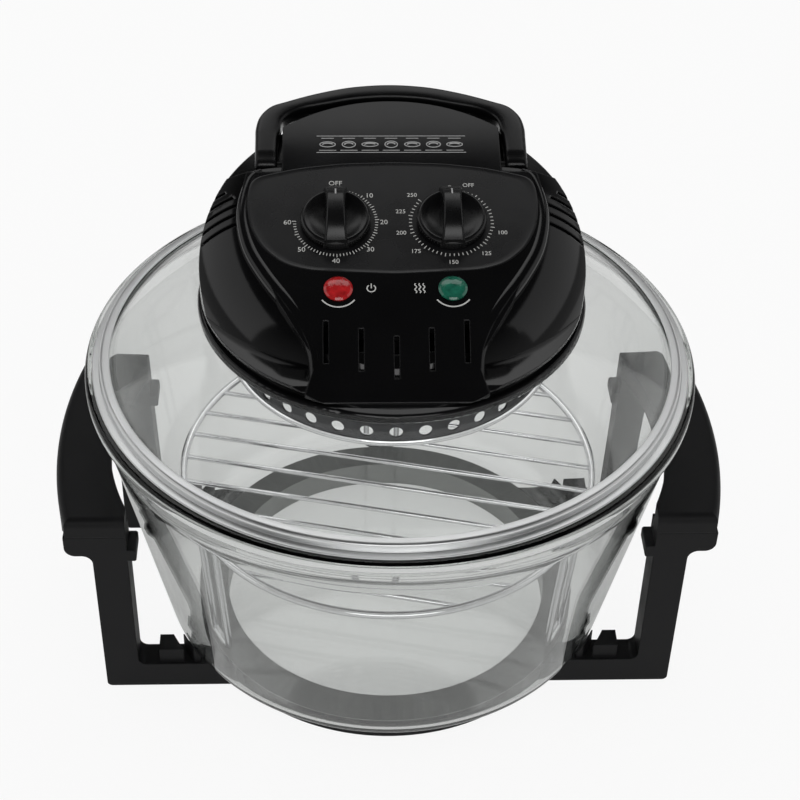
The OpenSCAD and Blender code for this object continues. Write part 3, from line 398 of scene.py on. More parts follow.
def stand_ring(satin, opening):
    """Satin black of the base ring whose upper face and opening, seen through the bowl, are painted a dull
    grey:
    a painted reflection on a ring that is black all over. The colour changes over half a millimetre of height
    or of radius."""
    made = Finish("base ring black", satin, (0.45, 0.6), ior=1.26, vary=0.18, scale=50, bump=0.12,
                  bump_scale=1400, bump_depth=0.00012)
    tree = made.tree
    # painted reflection: above 17.2 mm the top face turns grey, and so does the wall of the opening, where
    # the real plastic is black
    height = add_node(tree, "ShaderNodeSeparateXYZ", Vector=made.place).outputs["Z"]
    level = add_node(tree, "ShaderNodeMapRange", Value=height, From_Min=0.0172, From_Max=0.0178)
    flat = add_node(tree, "ShaderNodeVectorMath", **{"0": made.place, "1": (1, 1, 0)})
    flat.operation = "MULTIPLY"
    radius = add_node(tree, "ShaderNodeVectorMath", **{"0": flat.outputs[0]})
    radius.operation = "LENGTH"
    inward = add_node(tree, "ShaderNodeMapRange", Value=radius.outputs["Value"],
                      From_Min=opening + 0.0012, From_Max=opening + 0.0007)
    either = operation(tree, "MAXIMUM", level.outputs[0], inward.outputs[0])
    # the painted grey is broken into soft patches by the noise
    painted_grey_patches = add_node(tree, "ShaderNodeMapRange", Value=made.clouds, To_Min=0.8)
    shade = operation(tree, "MULTIPLY", either, painted_grey_patches.outputs[0])
    paint = colours_between(tree, shade, satin, (0.42, 0.42, 0.415))
    tree.links.new(paint, made.bsdf.inputs["Base Color"])
    return made.material


def finish_table(colours):
    """Every finish of the oven, by the record's material slot."""
    f = {}
    black, satin = colours.gloss_black, colours.satin_black
    f["casing_black"] = Finish("moulded gloss black", black, (0.08, 0.13), vary=0.3,
                               scale=18, bump=0.02, bump_scale=160,
                               bump_depth=0.0003).soft_edges(0.0008).material
    f["fascia_black"] = Finish("polished gloss black", black, (0.07, 0.11), vary=0.3,
                               scale=16, bump=0.015, bump_scale=140,
                               bump_depth=0.0003).soft_edges(0.0008).material
    f["dial_plate"] = Finish("satin dial field", satin, (0.24, 0.32), vary=0.15, scale=40, bump=0.06,
                             bump_scale=1800, bump_depth=0.00008).material
    f["knob_black"] = Finish("knob black", black, (0.2, 0.3), vary=0.2, scale=80, bump=0.04,
                             bump_scale=1500, bump_depth=0.0001).material
    f["handle_black"] = Finish("handle black", black, (0.16, 0.24), vary=0.25, scale=40, bump=0.03,
                               bump_scale=1200, bump_depth=0.0001).soft_edges(0.0014).material
    f["satin_black"] = Finish("stand satin black", satin, (0.42, 0.55), ior=1.26, vary=0.18, scale=50,
                              bump=0.12, bump_scale=1400, bump_depth=0.00012).soft_edges(0.0012).material
    f["pin_black"] = Finish("blackened pin steel", (0.02, 0.02, 0.02), (0.35, 0.5), 0.8, bump=0.05).material
    f["ring_painted_grey"] = stand_ring(satin, BASE_OPENING)
    f["rubber_black"] = Finish("foot rubber", (0.02, 0.02, 0.021), (0.7, 0.85), vary=0.2, bump=0.2,
                               bump_scale=900).material
    f["screw_steel"] = Finish("screw steel", (0.55, 0.55, 0.56), (0.28, 0.4), 1.0, bump=0.05).material
    f["chrome_wire"] = Finish("chromed wire", (0.72, 0.72, 0.73), (0.08, 0.16), 1.0, vary=0.05, scale=120,
                              bump=0.03, bump_scale=500).material
    f["rim_steel"] = Finish("polished rim steel", (0.86, 0.87, 0.87), (0.3, 0.42), 1.0, vary=0.05, scale=30,
                            bump=0.03, bump_scale=700, stretch=(1, 1, 6)).material
    f["bead_chrome"] = Finish("chromed edge roll", (0.8, 0.8, 0.81), (0.08, 0.16), 1.0, vary=0.04, scale=60,
                              bump=0.02).material
    f["shield_steel"] = Finish("enamelled shield", (0.06, 0.06, 0.063), (0.3, 0.45), 0.4, vary=0.2,
                               scale=70, bump=0.08).material
    f["silicone"] = Finish("seal silicone", (0.42, 0.43, 0.42), (0.45, 0.6), vary=0.1, bump=0.1).material
    f["base_plastic"] = Finish("heatproof base plastic", (0.018, 0.018, 0.019), (0.5, 0.65), vary=0.2,
                               bump=0.15).material
    f["lamp_quartz"] = Finish("frosted lamp quartz", (0.82, 0.8, 0.74), (0.25, 0.4), vary=0.05, scale=90,
                              bump=0.05).material
    f["ceramic_white"] = Finish("lamp ceramic", (0.8, 0.78, 0.73), (0.5, 0.65), vary=0.05, bump=0.15).material
    f["stator_steel"] = Finish("stacked stator plates", (0.2, 0.2, 0.21), (0.4, 0.55), 0.8, vary=0.2,
                               scale=300, stretch=(0.1, 0.1, 8), bump=0.3, bump_scale=600).material
    f["coil_copper"] = Finish("wound copper", (0.5, 0.22, 0.09), (0.3, 0.45), 0.8, vary=0.25, scale=400,
                              stretch=(0.1, 5, 0.1), bump=0.5, bump_scale=900).material
    f["bracket_zinc"] = Finish("zinc bracket", (0.5, 0.5, 0.49), (0.35, 0.5), 0.9, vary=0.12, scale=150,
                               bump=0.1).material
    f["brass_parts"] = Finish("turned brass", (0.55, 0.4, 0.16), (0.25, 0.35), 0.95, vary=0.1,
                              bump=0.05).material
    f["unit_cream"] = Finish("switch body nylon", (0.6, 0.57, 0.48), (0.5, 0.6), vary=0.08, bump=0.1).material
    f["fan_aluminium"] = Finish("rolled aluminium", (0.62, 0.62, 0.63), (0.3, 0.42), 0.95, vary=0.08,
                                scale=120, stretch=(1, 8, 1), bump=0.1).material
    f["bulb_glass"] = Finish("pilot lamp body", (0.7, 0.6, 0.5), (0.2, 0.3), vary=0.1, bump=0.04).material
    f["print_white"] = Finish("dial print", (0.62, 0.62, 0.6), (0.5, 0.6), vary=0.12, scale=900,
                              bump=0.05).material
    f["print_grey"] = Finish("faint print", (0.42, 0.42, 0.42), (0.5, 0.6), vary=0.15, scale=900,
                             bump=0.05).material
    f["lens_red"] = Finish("red lens", (0.42, 0.012, 0.014), (0.08, 0.14), vary=0.35, scale=260, coat=0.7,
                           bump=0.5, bump_scale=420, bump_depth=0.0006).material
    f["lens_green"] = Finish("green lens", (0.01, 0.12, 0.075), (0.08, 0.14), vary=0.35, scale=260,
                             coat=0.7, bump=0.5, bump_scale=420, bump_depth=0.0006).material
    f["bowl_glass"] = clear_glass("bowl glass", (0.958, 0.962, 0.958), (0.94, 0.947, 0.942), 0.8)
    f["lid_glass"] = clear_glass("lid glass", (0.984, 0.987, 0.985), (0.972, 0.978, 0.974), 0.94)
    return f


FINISHES = {}


def dress(piece, slot, body, *nodes, look=None):
    """Gives a new piece the finish of its material slot or of its own look, puts it under its body and hides
    the nodes it replaces.
    """
    piece.data.materials.clear()
    piece.data.materials.append(FINISHES[look or slot])
    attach(piece, body)
    if nodes:
        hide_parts(*nodes)
    return piece


# ---------- sizes and colours that a user may change ----------


class OvenColours(bpy.types.PropertyGroup):
    gloss_black: FloatVectorProperty(name="Gloss black", description="Colour of the head, knobs and handle",
                                     subtype="COLOR", default=(0.003, 0.003, 0.0033))
    satin_black: FloatVectorProperty(name="Satin black", description="Colour of the stand and dial field",
                                     subtype="COLOR", default=(0.008, 0.008, 0.0086))


class OvenGlass(bpy.types.PropertyGroup):
    wall: FloatProperty(name="Bowl wall", description="Thickness of the bowl", default=0.005, unit="LENGTH")
    corner: FloatProperty(name="Bowl corner", description="Radius between floor and wall", default=0.014,
                          unit="LENGTH")
    bead: FloatProperty(name="Rim bead", description="Height of the thick rim of the bowl", default=0.008,
                        unit="LENGTH")
    dome: FloatProperty(name="Dome radius", description="Radius of the lid's dome", default=0.2589,
                        unit="LENGTH")
    lid_wall: FloatProperty(name="Lid wall", description="Thickness of the lid", default=0.0045,
                            unit="LENGTH")


class OvenWires(bpy.types.PropertyGroup):
    ring: FloatProperty(name="Rack ring", description="Diameter of the rack's ring wire", default=0.0044,
                        unit="LENGTH")
    bar: FloatProperty(name="Rack bar", description="Diameter of the rack's bars", default=0.0028,
                       unit="LENGTH")
    pitch: FloatProperty(name="Bar pitch", description="Distance between the bars", default=0.0205,
                         unit="LENGTH")
    leg: FloatProperty(name="Rack leg", description="Diameter of the leg wire", default=0.004, unit="LENGTH")


class OvenDials(bpy.types.PropertyGroup):
    apart: FloatProperty(name="Knob offset", description="Distance of each knob from the middle",
                         default=0.0305, unit="LENGTH")
    along: FloatProperty(name="Knob place", description="Place of the knobs along the slope",
                         default=-0.0026, unit="LENGTH")
    knob: FloatProperty(name="Knob diameter", description="Diameter of a knob", default=0.037, unit="LENGTH")
    ticks: FloatProperty(name="Tick ring", description="Radius of the ring of printed ticks",
                         default=0.0208, unit="LENGTH")
    digits: FloatProperty(name="Digit size", description="Size of the printed digits", default=0.0042,
                          unit="LENGTH")


class OvenStage(bpy.types.PropertyGroup):
    azimuth: FloatProperty(name="Camera azimuth", description="Turn of the camera about the oven",
                           subtype="ANGLE", default=math.radians(-2.5))
    elevation: FloatProperty(name="Camera elevation", description="Height angle of the camera",
                             subtype="ANGLE", default=math.radians(39.9))
    distance: FloatProperty(name="Camera distance", description="Distance from the oven's middle",
                            default=1.03, unit="LENGTH")
    world: FloatProperty(name="World strength", description="Strength of the even light", default=0.45)


# ---------- glass ----------


class OVEN_OT_bowl(bpy.types.Operator):
    """Glass bowl: a thick-walled cup turned from one profile, with a rounded rim bead."""

    bl_idname = "oven.bowl"
    bl_label = "Glass bowl"

    def execute(self, context):
        s = context.scene.oven_glass
        low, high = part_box("glass_bowl")
        seat, top = low.z, high.z
        edge = high.x
        slope = (BOWL_RIM_R - BOWL_FLOOR_R) / (top - seat)
        lean = math.atan(slope)

        def wall_r(z):
            return BOWL_FLOOR_R + slope * (z - seat)

        def inside(z):
            return wall_r(z) - s.wall / math.cos(lean)

        cz = seat + s.corner
        cx = wall_r(cz) - s.corner / math.cos(lean)
        t = np.linspace(-np.pi / 2, -lean, 14)
        outer = np.stack([cx + s.corner * np.cos(t), cz + s.corner * np.sin(t)], 1)
        rin = s.corner - s.wall
        inner = np.stack([cx + rin * np.cos(t[::-1]), cz + rin * np.sin(t[::-1])], 1)
        zb = top - s.bead
        rim = rounded([[edge, zb], [edge, top], [inside(top), top], [inside(zb), zb - 0.02],
                       [wall_r(zb - 0.0012), zb - 0.0012]], [0.0026, 0.0036, 0.0016, 0.0001, 0.0012], 8)
        rim = rim[:24]
        floor_out = np.stack([np.linspace(0, cx, 8)[:-1], np.full(7, seat)], 1)
        floor_in = np.stack([np.linspace(cx, 0, 8)[1:], np.full(7, seat + s.wall)], 1)
        zs = np.linspace(cz, zb - 0.0025, 10)[1:]
        wall_out = np.stack([wall_r(zs), zs], 1)
        zs = np.linspace(top - 0.004, cz, 12)
        wall_in = np.stack([inside(zs), zs], 1)
        profile = np.concatenate([floor_out, outer, wall_out, rim, wall_in, inner, floor_in])
        part = open_turned(profile, 256)
        piece = solid_object("bowl_of_glass", [part], 60)
        dress(piece, "bowl_glass", "bowl", "glass_bowl")
        return {"FINISHED"}


def open_turned(profile, steps=192):
    """Profile from axis to axis turned about the vertical, with both ends closed to a pole."""
    a = np.linspace(0, 2 * np.pi, steps, endpoint=False)
    r, z = profile[:, 0][:, None], profile[:, 1][:, None]
    points = np.stack(np.broadcast_arrays(r * np.cos(a), r * np.sin(a), z), -1)
    return shell(points, False, True)


class OVEN_OT_lid(bpy.types.Operator):
    """Lid: a shell between two spheres, its polished rolled rim and the flange on the bowl."""

    bl_idname = "oven.lid"
    bl_label = "Glass lid and rim"

    def execute(self, context):
        s = context.scene.oven_glass
        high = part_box("lid_glass")[1]
        top, lid_r, hole = high.z, high.x, LID_HOLE_R
        centre = top - math.sqrt(s.dome**2 - hole**2)
        r = np.linspace(hole, lid_r, 48)
        outer = np.stack([r, centre + np.sqrt(s.dome**2 - r**2)], 1)
        inner_r = s.dome - s.lid_wall
        r = np.linspace(lid_r, hole, 48)
        inner = np.stack([r, centre + np.sqrt(inner_r**2 - r**2)], 1)
        piece = solid_object("lid_of_glass", [turned(np.concatenate([outer, inner]), 256)], 50)
        dress(piece, "lid_glass", "lid", "lid_glass")
        low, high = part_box("lid_rim")
        z0, z1, out = low.z, high.z, high.x
        body_r, inner = out - 0.0043, lid_r - 0.004
        seat, t = RIM_SEAT_Z, 0.0012
        section = rounded([[inner, z1], [inner, z1 - t], [body_r - t, z1 - t], [body_r - t, z0 + t],
                           [inner, z0 + t], [inner, z0], [body_r, z0], [body_r, seat], [out, seat],
                           [out, seat + t], [body_r, seat + t], [body_r, z1]],
                          [t * 0.48, t * 0.48, t * 0.6, t * 0.6, t * 0.48, t * 0.48, t * 1.2, t * 0.3,
                           t * 0.48, t * 0.48, t * 0.6, t * 1.9], 6)
        dress(solid_object("rim_of_lid", [turned(section, 256)]), "rim_steel", "lid", "lid_rim")
        return {"FINISHED"}


# ---------- wires ----------


class OVEN_OT_rack(bpy.types.Operator):
    """Wire rack: ring, cross bars and three leg loops of chromed wire."""

    bl_idname = "oven.rack"
    bl_label = "Wire rack"

    def execute(self, context):
        s = context.scene.oven_wires
        low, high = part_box("rack_grid")
        z, radius = (low.z + high.z) / 2, high.x - s.ring / 2
        c, k = math.cos(RACK_TURN), math.sin(RACK_TURN)
        spin = np.array([[c, k, 0], [-k, c, 0], [0, 0, 1]])
        parts = [wire_ring(radius, s.ring, z)]
        count = int((radius - 0.01) / s.pitch)
        for i in range(-count, count + 1):
            half = math.sqrt(radius**2 - (i * s.pitch) ** 2) - 0.0006
            part = wire((-half, i * s.pitch, z), (half, i * s.pitch, z), s.bar)
            parts.append((part[0] @ spin, part[1]))
        dress(solid_object("rack_wires", parts), "chrome_wire", "rack", "rack_grid")
        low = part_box("rack_legs")[0]
        zf, zt = low.z + s.leg / 2, z - s.ring / 2 - 0.0002
        half = 0.010
        xt = math.sqrt(radius**2 - half**2)
        xl = xt - 0.006
        path = rounded([[xt, -half, zt], [xl, -half, zf], [xl, half, zf], [xt, half, zt]],
                       [1e-6, 0.004, 0.004, 1e-6], 10)
        t = np.linspace(0, 2 * np.pi, 16, endpoint=False)
        circle = np.stack([np.cos(t), np.sin(t)], 1) * s.leg / 2
        legs = []
        for a in (90, 210, 330):
            a = math.radians(a)
            spin = np.array([[math.cos(a), math.sin(a), 0], [-math.sin(a), math.cos(a), 0], [0, 0, 1]])
            part = swept(path[9:31], circle, up=(1, 0, 0))
            legs.append((part[0] @ spin, part[1]))
        dress(solid_object("rack_leg_wires", legs), "chrome_wire", "rack", "rack_legs")
        return {"FINISHED"}


class OVEN_OT_guard(bpy.types.Operator):
    """Wires under the lamp and the bright rolled edge of the skirt."""

    bl_idname = "oven.guard"
    bl_label = "Guard and edge roll"

    def execute(self, context):
        d = 0.002
        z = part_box("guard_grille")[1].z - d / 2
        parts = [wire_ring(r, d, z, 128, 12) for r in (0.014, 0.028, 0.042, 0.056, 0.070)]
        for a in range(0, 360, 60):
            a = math.radians(a)
            way = np.array([math.cos(a), math.sin(a), 0])
            base = np.array([0, 0, z - d * 0.7])
            parts.append(wire(base + way * 0.013, base + way * 0.0852, d, 12))
        dress(solid_object("guard_wires", parts), "chrome_wire", "lid", "guard_grille")
        low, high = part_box("shield_bead")
        d = high.z - low.z
        dress(solid_object("edge_roll", [wire_ring(high.x - d / 2, d, (low.z + high.z) / 2, 256, 24)]),
              "bead_chrome", "lid", "shield_bead")
        return {"FINISHED"}


# ---------- carry handle ----------


class OVEN_OT_handle(bpy.types.Operator):
    """Carry handle: a rounded section carried round two arms and a bowed bar. Each station gives
    the inner and the outer side in the panel's plane; the section between is a soft-edged oblong
    whose sides follow |x|^5 + |y|^5 = 1, and the arms end in a half circle about the pivot."""

    bl_idname = "oven.handle"
    bl_label = "Carry handle"

    def execute(self, context):
        pivot_v, pivot_w = 0.042, -0.007
        half_t, hub = 0.0055, 0.0051
        cam_fall, cam_swing = 0.0015, 75
        end_rings, hub_blend = 8, 0.006
        # inner side (u, v), outer side (u, v), from the right pivot to the middle of the bar
        stations = np.array([
            [61.8, 42.0, 74.0, 42.0], [61.8, 50.0, 74.0, 50.0], [61.4, 58.0, 74.0, 58.0],
            [60.4, 65.0, 73.9, 65.5], [58.5, 71.6, 71.9, 73.6], [53.8, 76.6, 66.4, 80.6],
            [47.0, 79.6, 58.0, 84.3], [36.0, 82.2, 42.0, 90.1], [22.0, 85.4, 25.0, 94.6],
            [10.0, 86.9, 11.0, 96.5], [0.0, 87.3, 0.0, 97.0]]) * MM
        mirror = stations[-2::-1] * (-1, 1, -1, 1)
        line = smooth_path(np.concatenate([stations, mirror]), 8)
        ramp = np.linspace(-1, 0, end_rings + 1)[:-1]
        first = np.repeat(line[:1], end_rings, 0)
        # the hub's lower side is the plunger's cam: its radius falls as the handle comes up
        cam = hub + cam_fall * np.clip(ramp * 90 / cam_swing, -1, 0)
        first[:, [1, 3]] = pivot_v + (cam * np.sin(ramp * np.pi / 2))[:, None]
        last = first[::-1] * (-1, 1, -1, 1)
        round_end = np.cos(ramp * np.pi / 2)
        tall = np.concatenate([round_end * hub, np.full(len(line), half_t), (round_end * hub)[::-1]])
        near = np.abs(line[:, 1] - pivot_v) < hub_blend
        along = np.abs(line[near, 1] - pivot_v) / hub_blend
        tall[end_rings:-end_rings][near] = hub + (half_t - hub) * along**2
        low = tall.copy()
        low[:end_rings] = round_end * cam
        low[-end_rings:] = low[:end_rings][::-1]
        line = np.concatenate([first, line, last])
        t = np.linspace(0, 2 * np.pi, 36, endpoint=False)
        cx = np.sign(np.cos(t)) * np.abs(np.cos(t)) ** 0.4
        cy = np.sign(np.sin(t)) * np.abs(np.sin(t)) ** 0.4
        mid, arm = (line[:, :2] + line[:, 2:]) / 2, (line[:, 2:] - line[:, :2]) / 2
        u = mid[:, :1] + arm[:, :1] * cx
        v = mid[:, 1:] + arm[:, 1:] * cx
        w = pivot_w + np.where(cy > 0, tall[:, None], low[:, None]) * cy
        part = panel_solid(shell(capped(np.stack([u, v, w], -1)), False, True))
        dress(solid_object("handle_for_carrying", [part], 60), "handle_black", "carry_handle_body",
              "carry_handle")
        return {"FINISHED"}


# ---------- controls ----------


def crown(y, r):
    """Height of a knob's grip bar along its length: high in the middle, falling as a power of the
    distance towards the disc's edge."""
    return 0.0162 - 0.0088 * np.abs(y / r) ** 2.6


class OVEN_OT_knobs(bpy.types.Operator):
    """Two knobs: a shallow dished disc and a crowned grip bar with a printed pointer."""

    bl_idname = "oven.knobs"
    bl_label = "Dial knobs"

    def execute(self, context):
        s = context.scene.oven_dials
        r = s.knob / 2
        for side, name, body in ((-1, "time", "timer_dial"), (1, "heat", "heat_dial")):
            centre = np.array([side * s.apart, s.along, 0])
            disc = rounded([[0.004, 0.0040], [r * 0.6, 0.0042], [r - 0.0016, 0.0066], [r, 0.0052],
                            [r, 0.0008], [0.004, 0.0008]],
                           [0.0004, 0.004, 0.0012, 0.0008, 0.0004, 0.0003], 7)
            y = np.linspace(-1, 1, 41) * (r - 0.0007)
            crest = crown(y, r)
            waist = 0.0058 + 0.0012 * np.abs(y / r) ** 2
            q = rounded([[-1, 0], [1, 0], [0.84, 1], [-0.84, 1]], [0.02, 0.02, 0.22, 0.22], 8)
            section = np.stack([q[None, :, 0] * waist[:, None],
                                0.0012 + q[None, :, 1] * (crest - 0.0012)[:, None]], -1)
            path = np.stack([np.zeros_like(y), y, np.zeros_like(y)], 1)
            grip = swept(path, section)
            parts = [panel_solid(shift_points(turned(disc, 96), centre)),
                     panel_solid(shift_points(grip, centre))]
            dress(solid_object(name + "_dial_knob", parts, 35), "knob_black", body, name + "_knob")
            yy = np.linspace(r - 0.0115, r - 0.0062, 8)
            zz = crown(yy, r) + 0.00004
            p = np.stack([np.stack([np.full(8, w), yy, zz], 1) for w in (-0.0004, 0.0004)], 1)
            p = np.concatenate([p, (p + (0, 0, 0.00008))[:, ::-1]], 1)
            mark = shell(capped(p) + centre, False, True)
            dress(solid_object(name + "_pointer", [panel_solid(mark)]), "knob_black", body,
                  look="print_grey")
        return {"FINISHED"}


class OVEN_OT_ridges(bpy.types.Operator):
    """Rounded ridges that run from behind the dial field down both sides of the nose. Their
    section is a low half ellipse carried along the fascia's edge and sunk into it at both ends."""

    bl_idname = "oven.ridges"
    bl_label = "Fascia ridges"

    def execute(self, context):
        # place along the panel (u, v), half width, height above the panel, sink below it
        stations = np.array([
            [0.0705, 0.0345, 0.0016, -0.0006, 0.004], [0.0755, 0.0290, 0.0026, 0.0004, 0.005],
            [0.0790, 0.0150, 0.0034, 0.0006, 0.006], [0.0793, 0.0000, 0.0038, 0.0006, 0.006],
            [0.0752, -0.0180, 0.0042, 0.0006, 0.006], [0.0672, -0.0340, 0.0044, 0.0006, 0.006],
            [0.0570, -0.0500, 0.0044, 0.0006, 0.006], [0.0480, -0.0650, 0.0042, 0.0005, 0.006],
            [0.0425, -0.0790, 0.0038, 0.0004, 0.006], [0.0415, -0.0900, 0.0032, 0.0001, 0.006],
            [0.0430, -0.0985, 0.0022, -0.0010, 0.006]])
        line = smooth_path(stations, 8)
        a = np.linspace(0, np.pi, 15)
        parts = []
        for side in (-1, 1):
            u, v, half, high, sink = line.T
            du, dv = np.gradient(u), np.gradient(v)
            size = np.hypot(du, dv)
            nu, nv = -dv / size, du / size
            off = half[:, None] * np.cos(a)[None]
            up = -sink[:, None] + (sink + high)[:, None] * np.sin(a)[None] ** 0.5
            points = on_panel(side * (u[:, None] + nu[:, None] * off), v[:, None] + nv[:, None] * off, up)
            parts.append(shell(capped(points), False, True))
        dress(solid_object("fascia_ridges", parts, 60), "fascia_black", "lid")
        return {"FINISHED"}


class OVEN_OT_dial_field(bpy.types.Operator):
    """Satin dial field laid in the gloss fascia, with a fine raised edge."""

    bl_idname = "oven.dial_field"
    bl_label = "Dial field"

    def execute(self, context):
        half = np.array([[0, 0.0385], [0.028, 0.0375], [0.05, 0.0345], [0.0655, 0.0305], [0.0735, 0.028],
                         [0.0768, 0.022], [0.0775, 0.008], [0.0755, -0.006], [0.069, -0.0195],
                         [0.0585, -0.0295], [0.047, -0.0335], [0.038, -0.0345], [0.0, -0.0365]])
        outline = np.concatenate([half, half[-2:0:-1] * (-1, 1)])
        outline = rounded(outline, 0.006, 8)
        rings = []
        for inset, lift in ((0.0, 0.00002), (0.0001, 0.00022), (0.0006, 0.00035), (0.0012, 0.00026),
                            (0.0018, 0.00016)):
            scale = 1 - inset / 0.06
            rings.append(on_panel(outline[:, 0] * scale, outline[:, 1] * scale, lift))
        for k in np.linspace(0.93, 0.0, 12):
            rings.append(on_panel(outline[:, 0] * k, outline[:, 1] * k, 0.00016))
        low = on_panel(outline[:, 0], outline[:, 1], -0.0002)
        rings = [on_panel(outline[:, 0] * 0, outline[:, 1] * 0, -0.0002), low] + rings
        plate = shell(np.stack(rings), False, True)
        dress(solid_object("dial_field", [plate]), "fascia_black", "lid", look="dial_plate")
        return {"FINISHED"}


class OVEN_OT_prints(bpy.types.Operator):
    """Printed rings of ticks, the dial numbers, plain symbols and a strip of dish marks."""

    bl_idname = "oven.prints"
    bl_label = "Dial prints"

    def execute(self, context):
        s = context.scene.oven_dials
        lift = 0.0002
        bright = []
        for side, first, last, count in ((-1, -8, 272, 61), (1, 8, 312, 51)):
            u0, v0 = side * s.apart, s.along
            for i, a in enumerate(np.radians(np.linspace(first, last, count))):
                long = 0.0016 if i % 5 else 0.0022
                d = np.array([s.ticks, s.ticks + long])
                bright.append(stroke(u0 + d * np.sin(a), v0 + d * np.cos(a), 0.00045, lift))
        marks = [(-1, a, t) for a, t in ((0, "OFF"), (45, "10"), (90, "20"), (135, "30"), (180, "40"),
                                         (225, "50"), (270, "60"))]
        marks += [(1, a, t) for a, t in ((22, "OFF"), (105, "100"), (140, "125"), (180, "150"),
                                         (225, "175"), (255, "200"), (285, "225"), (312, "250"))]
        for side, a, text in marks:
            a = math.radians(a)
            d = s.ticks + (0.0046 if len(text) < 3 else 0.0056 + 0.0012 * abs(math.sin(a)))
            bright.append(lettering(text, side * s.apart + d * math.sin(a), s.along + d * math.cos(a),
                                    s.digits if side < 0 else s.digits * 0.86, 0, lift))
        dot = s.ticks + 0.0028
        bright.append(arc_stroke(s.apart, s.along + dot, 0.0006, 0, 360, 0.0012, 20, lift))
        for u in (-LENS_U, LENS_U):
            bright.append(arc_stroke(u, LENS_V, 0.0106, 128, 232, 0.0007, 28))
        bright.append(arc_stroke(-0.0125, -0.0455, 0.0022, 35, 325, 0.00055, 28))
        bright.append(stroke([-0.0125] * 3, np.linspace(-0.0455, -0.0425, 3), 0.00055))
        v = np.linspace(-0.0485, -0.0425, 16)
        for k in (-1, 0, 1):
            bright.append(stroke(0.0125 + k * 0.0021 + 0.0005 * np.sin((v + 0.0485) * 2094), v, 0.00055))
        dress(print_object("dial_prints", bright), "fascia_black", "lid", look="print_white")
        faint = []
        v = STRIP_V
        t = np.linspace(0, 2 * np.pi, 25)
        dishes = ((0.0042, 0.0018), (0.0036, 0.0022), (0.0044, 0.0015), (0.0034, 0.0023),
                  (0.0042, 0.0017), (0.0038, 0.0021), (0.0043, 0.0016))
        for i, (wide, high) in enumerate(dishes):
            u = -0.0345 + i * 0.0115
            faint.append(stroke(u + wide * np.cos(t), v + high * np.sin(t), 0.0005))
            faint.append(stroke(u + wide * 0.62 * np.cos(t[:14]), v + high * 0.5 * np.sin(t[:14]), 0.0007))
            faint.append(stroke(u + np.linspace(-0.0046, 0.0046, 6), np.full(6, v - 0.0042), 0.0004))
            faint.append(stroke(u + np.linspace(-0.0034, 0.0034, 6), np.full(6, v + 0.0043), 0.0004))
        for v in (0.0455, 0.0571):
            faint.append(stroke(np.linspace(-0.0405, 0.0405, 20), np.full(20, v), 0.0004))
        dress(print_object("picture_strip", faint), "fascia_black", "lid", look="print_grey")
        return {"FINISHED"}


class OVEN_OT_lamps(bpy.types.Operator):
    """Two signal lenses: low domes with a rim, red on the left and green on the right."""

    bl_idname = "oven.lamps"
    bl_label = "Signal lamps"

    def execute(self, context):
        r = LENS_R
        for u, name, slot in ((-LENS_U, "power", "lens_red"), (LENS_U, "heat", "lens_green")):
            a = np.linspace(0, 0.46, 12)
            dome = np.stack([0.015 * np.sin(a), 0.0032 - 0.015 * (1 - np.cos(a))], 1)
            edge = np.array([[r - 0.0004, 0.0012], [r, 0.0009], [r, 0.0001], [r - 0.0015, -0.0001],
                             [r - 0.002, -0.007], [0.0, -0.007]])
            part = open_turned(np.concatenate([dome, edge]), 64)
            part = panel_solid(shift_points(part, (u, LENS_V, 0)))
            dress(solid_object(name + "_signal", [part], 30), slot, "lid", name + "_lens")
        return {"FINISHED"}


# ---------- nodes that keep their solid's shape ----------


class OVEN_OT_plain_nodes(bpy.types.Operator):
    """Gives every solid of the frame the finish of its material slot; two have one of their own."""

    bl_idname = "oven.plain_nodes"
    bl_label = "Finishes of the solids"

    def execute(self, context):
        for name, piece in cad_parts.items():
            old = piece.material_slots[0].material
            slot = old.name.split(".")[0] if old else "satin_black"
            if slot not in FINISHES:
                raise RuntimeError(f"no finish for slot {slot} of {name}")
            look = {"base_ring": "ring_painted_grey", "pivot_pins": "pin_black"}.get(name, slot)
            for holder in piece.material_slots:
                holder.material = FINISHES[look]
        return {"FINISHED"}


# ---------- stage ----------


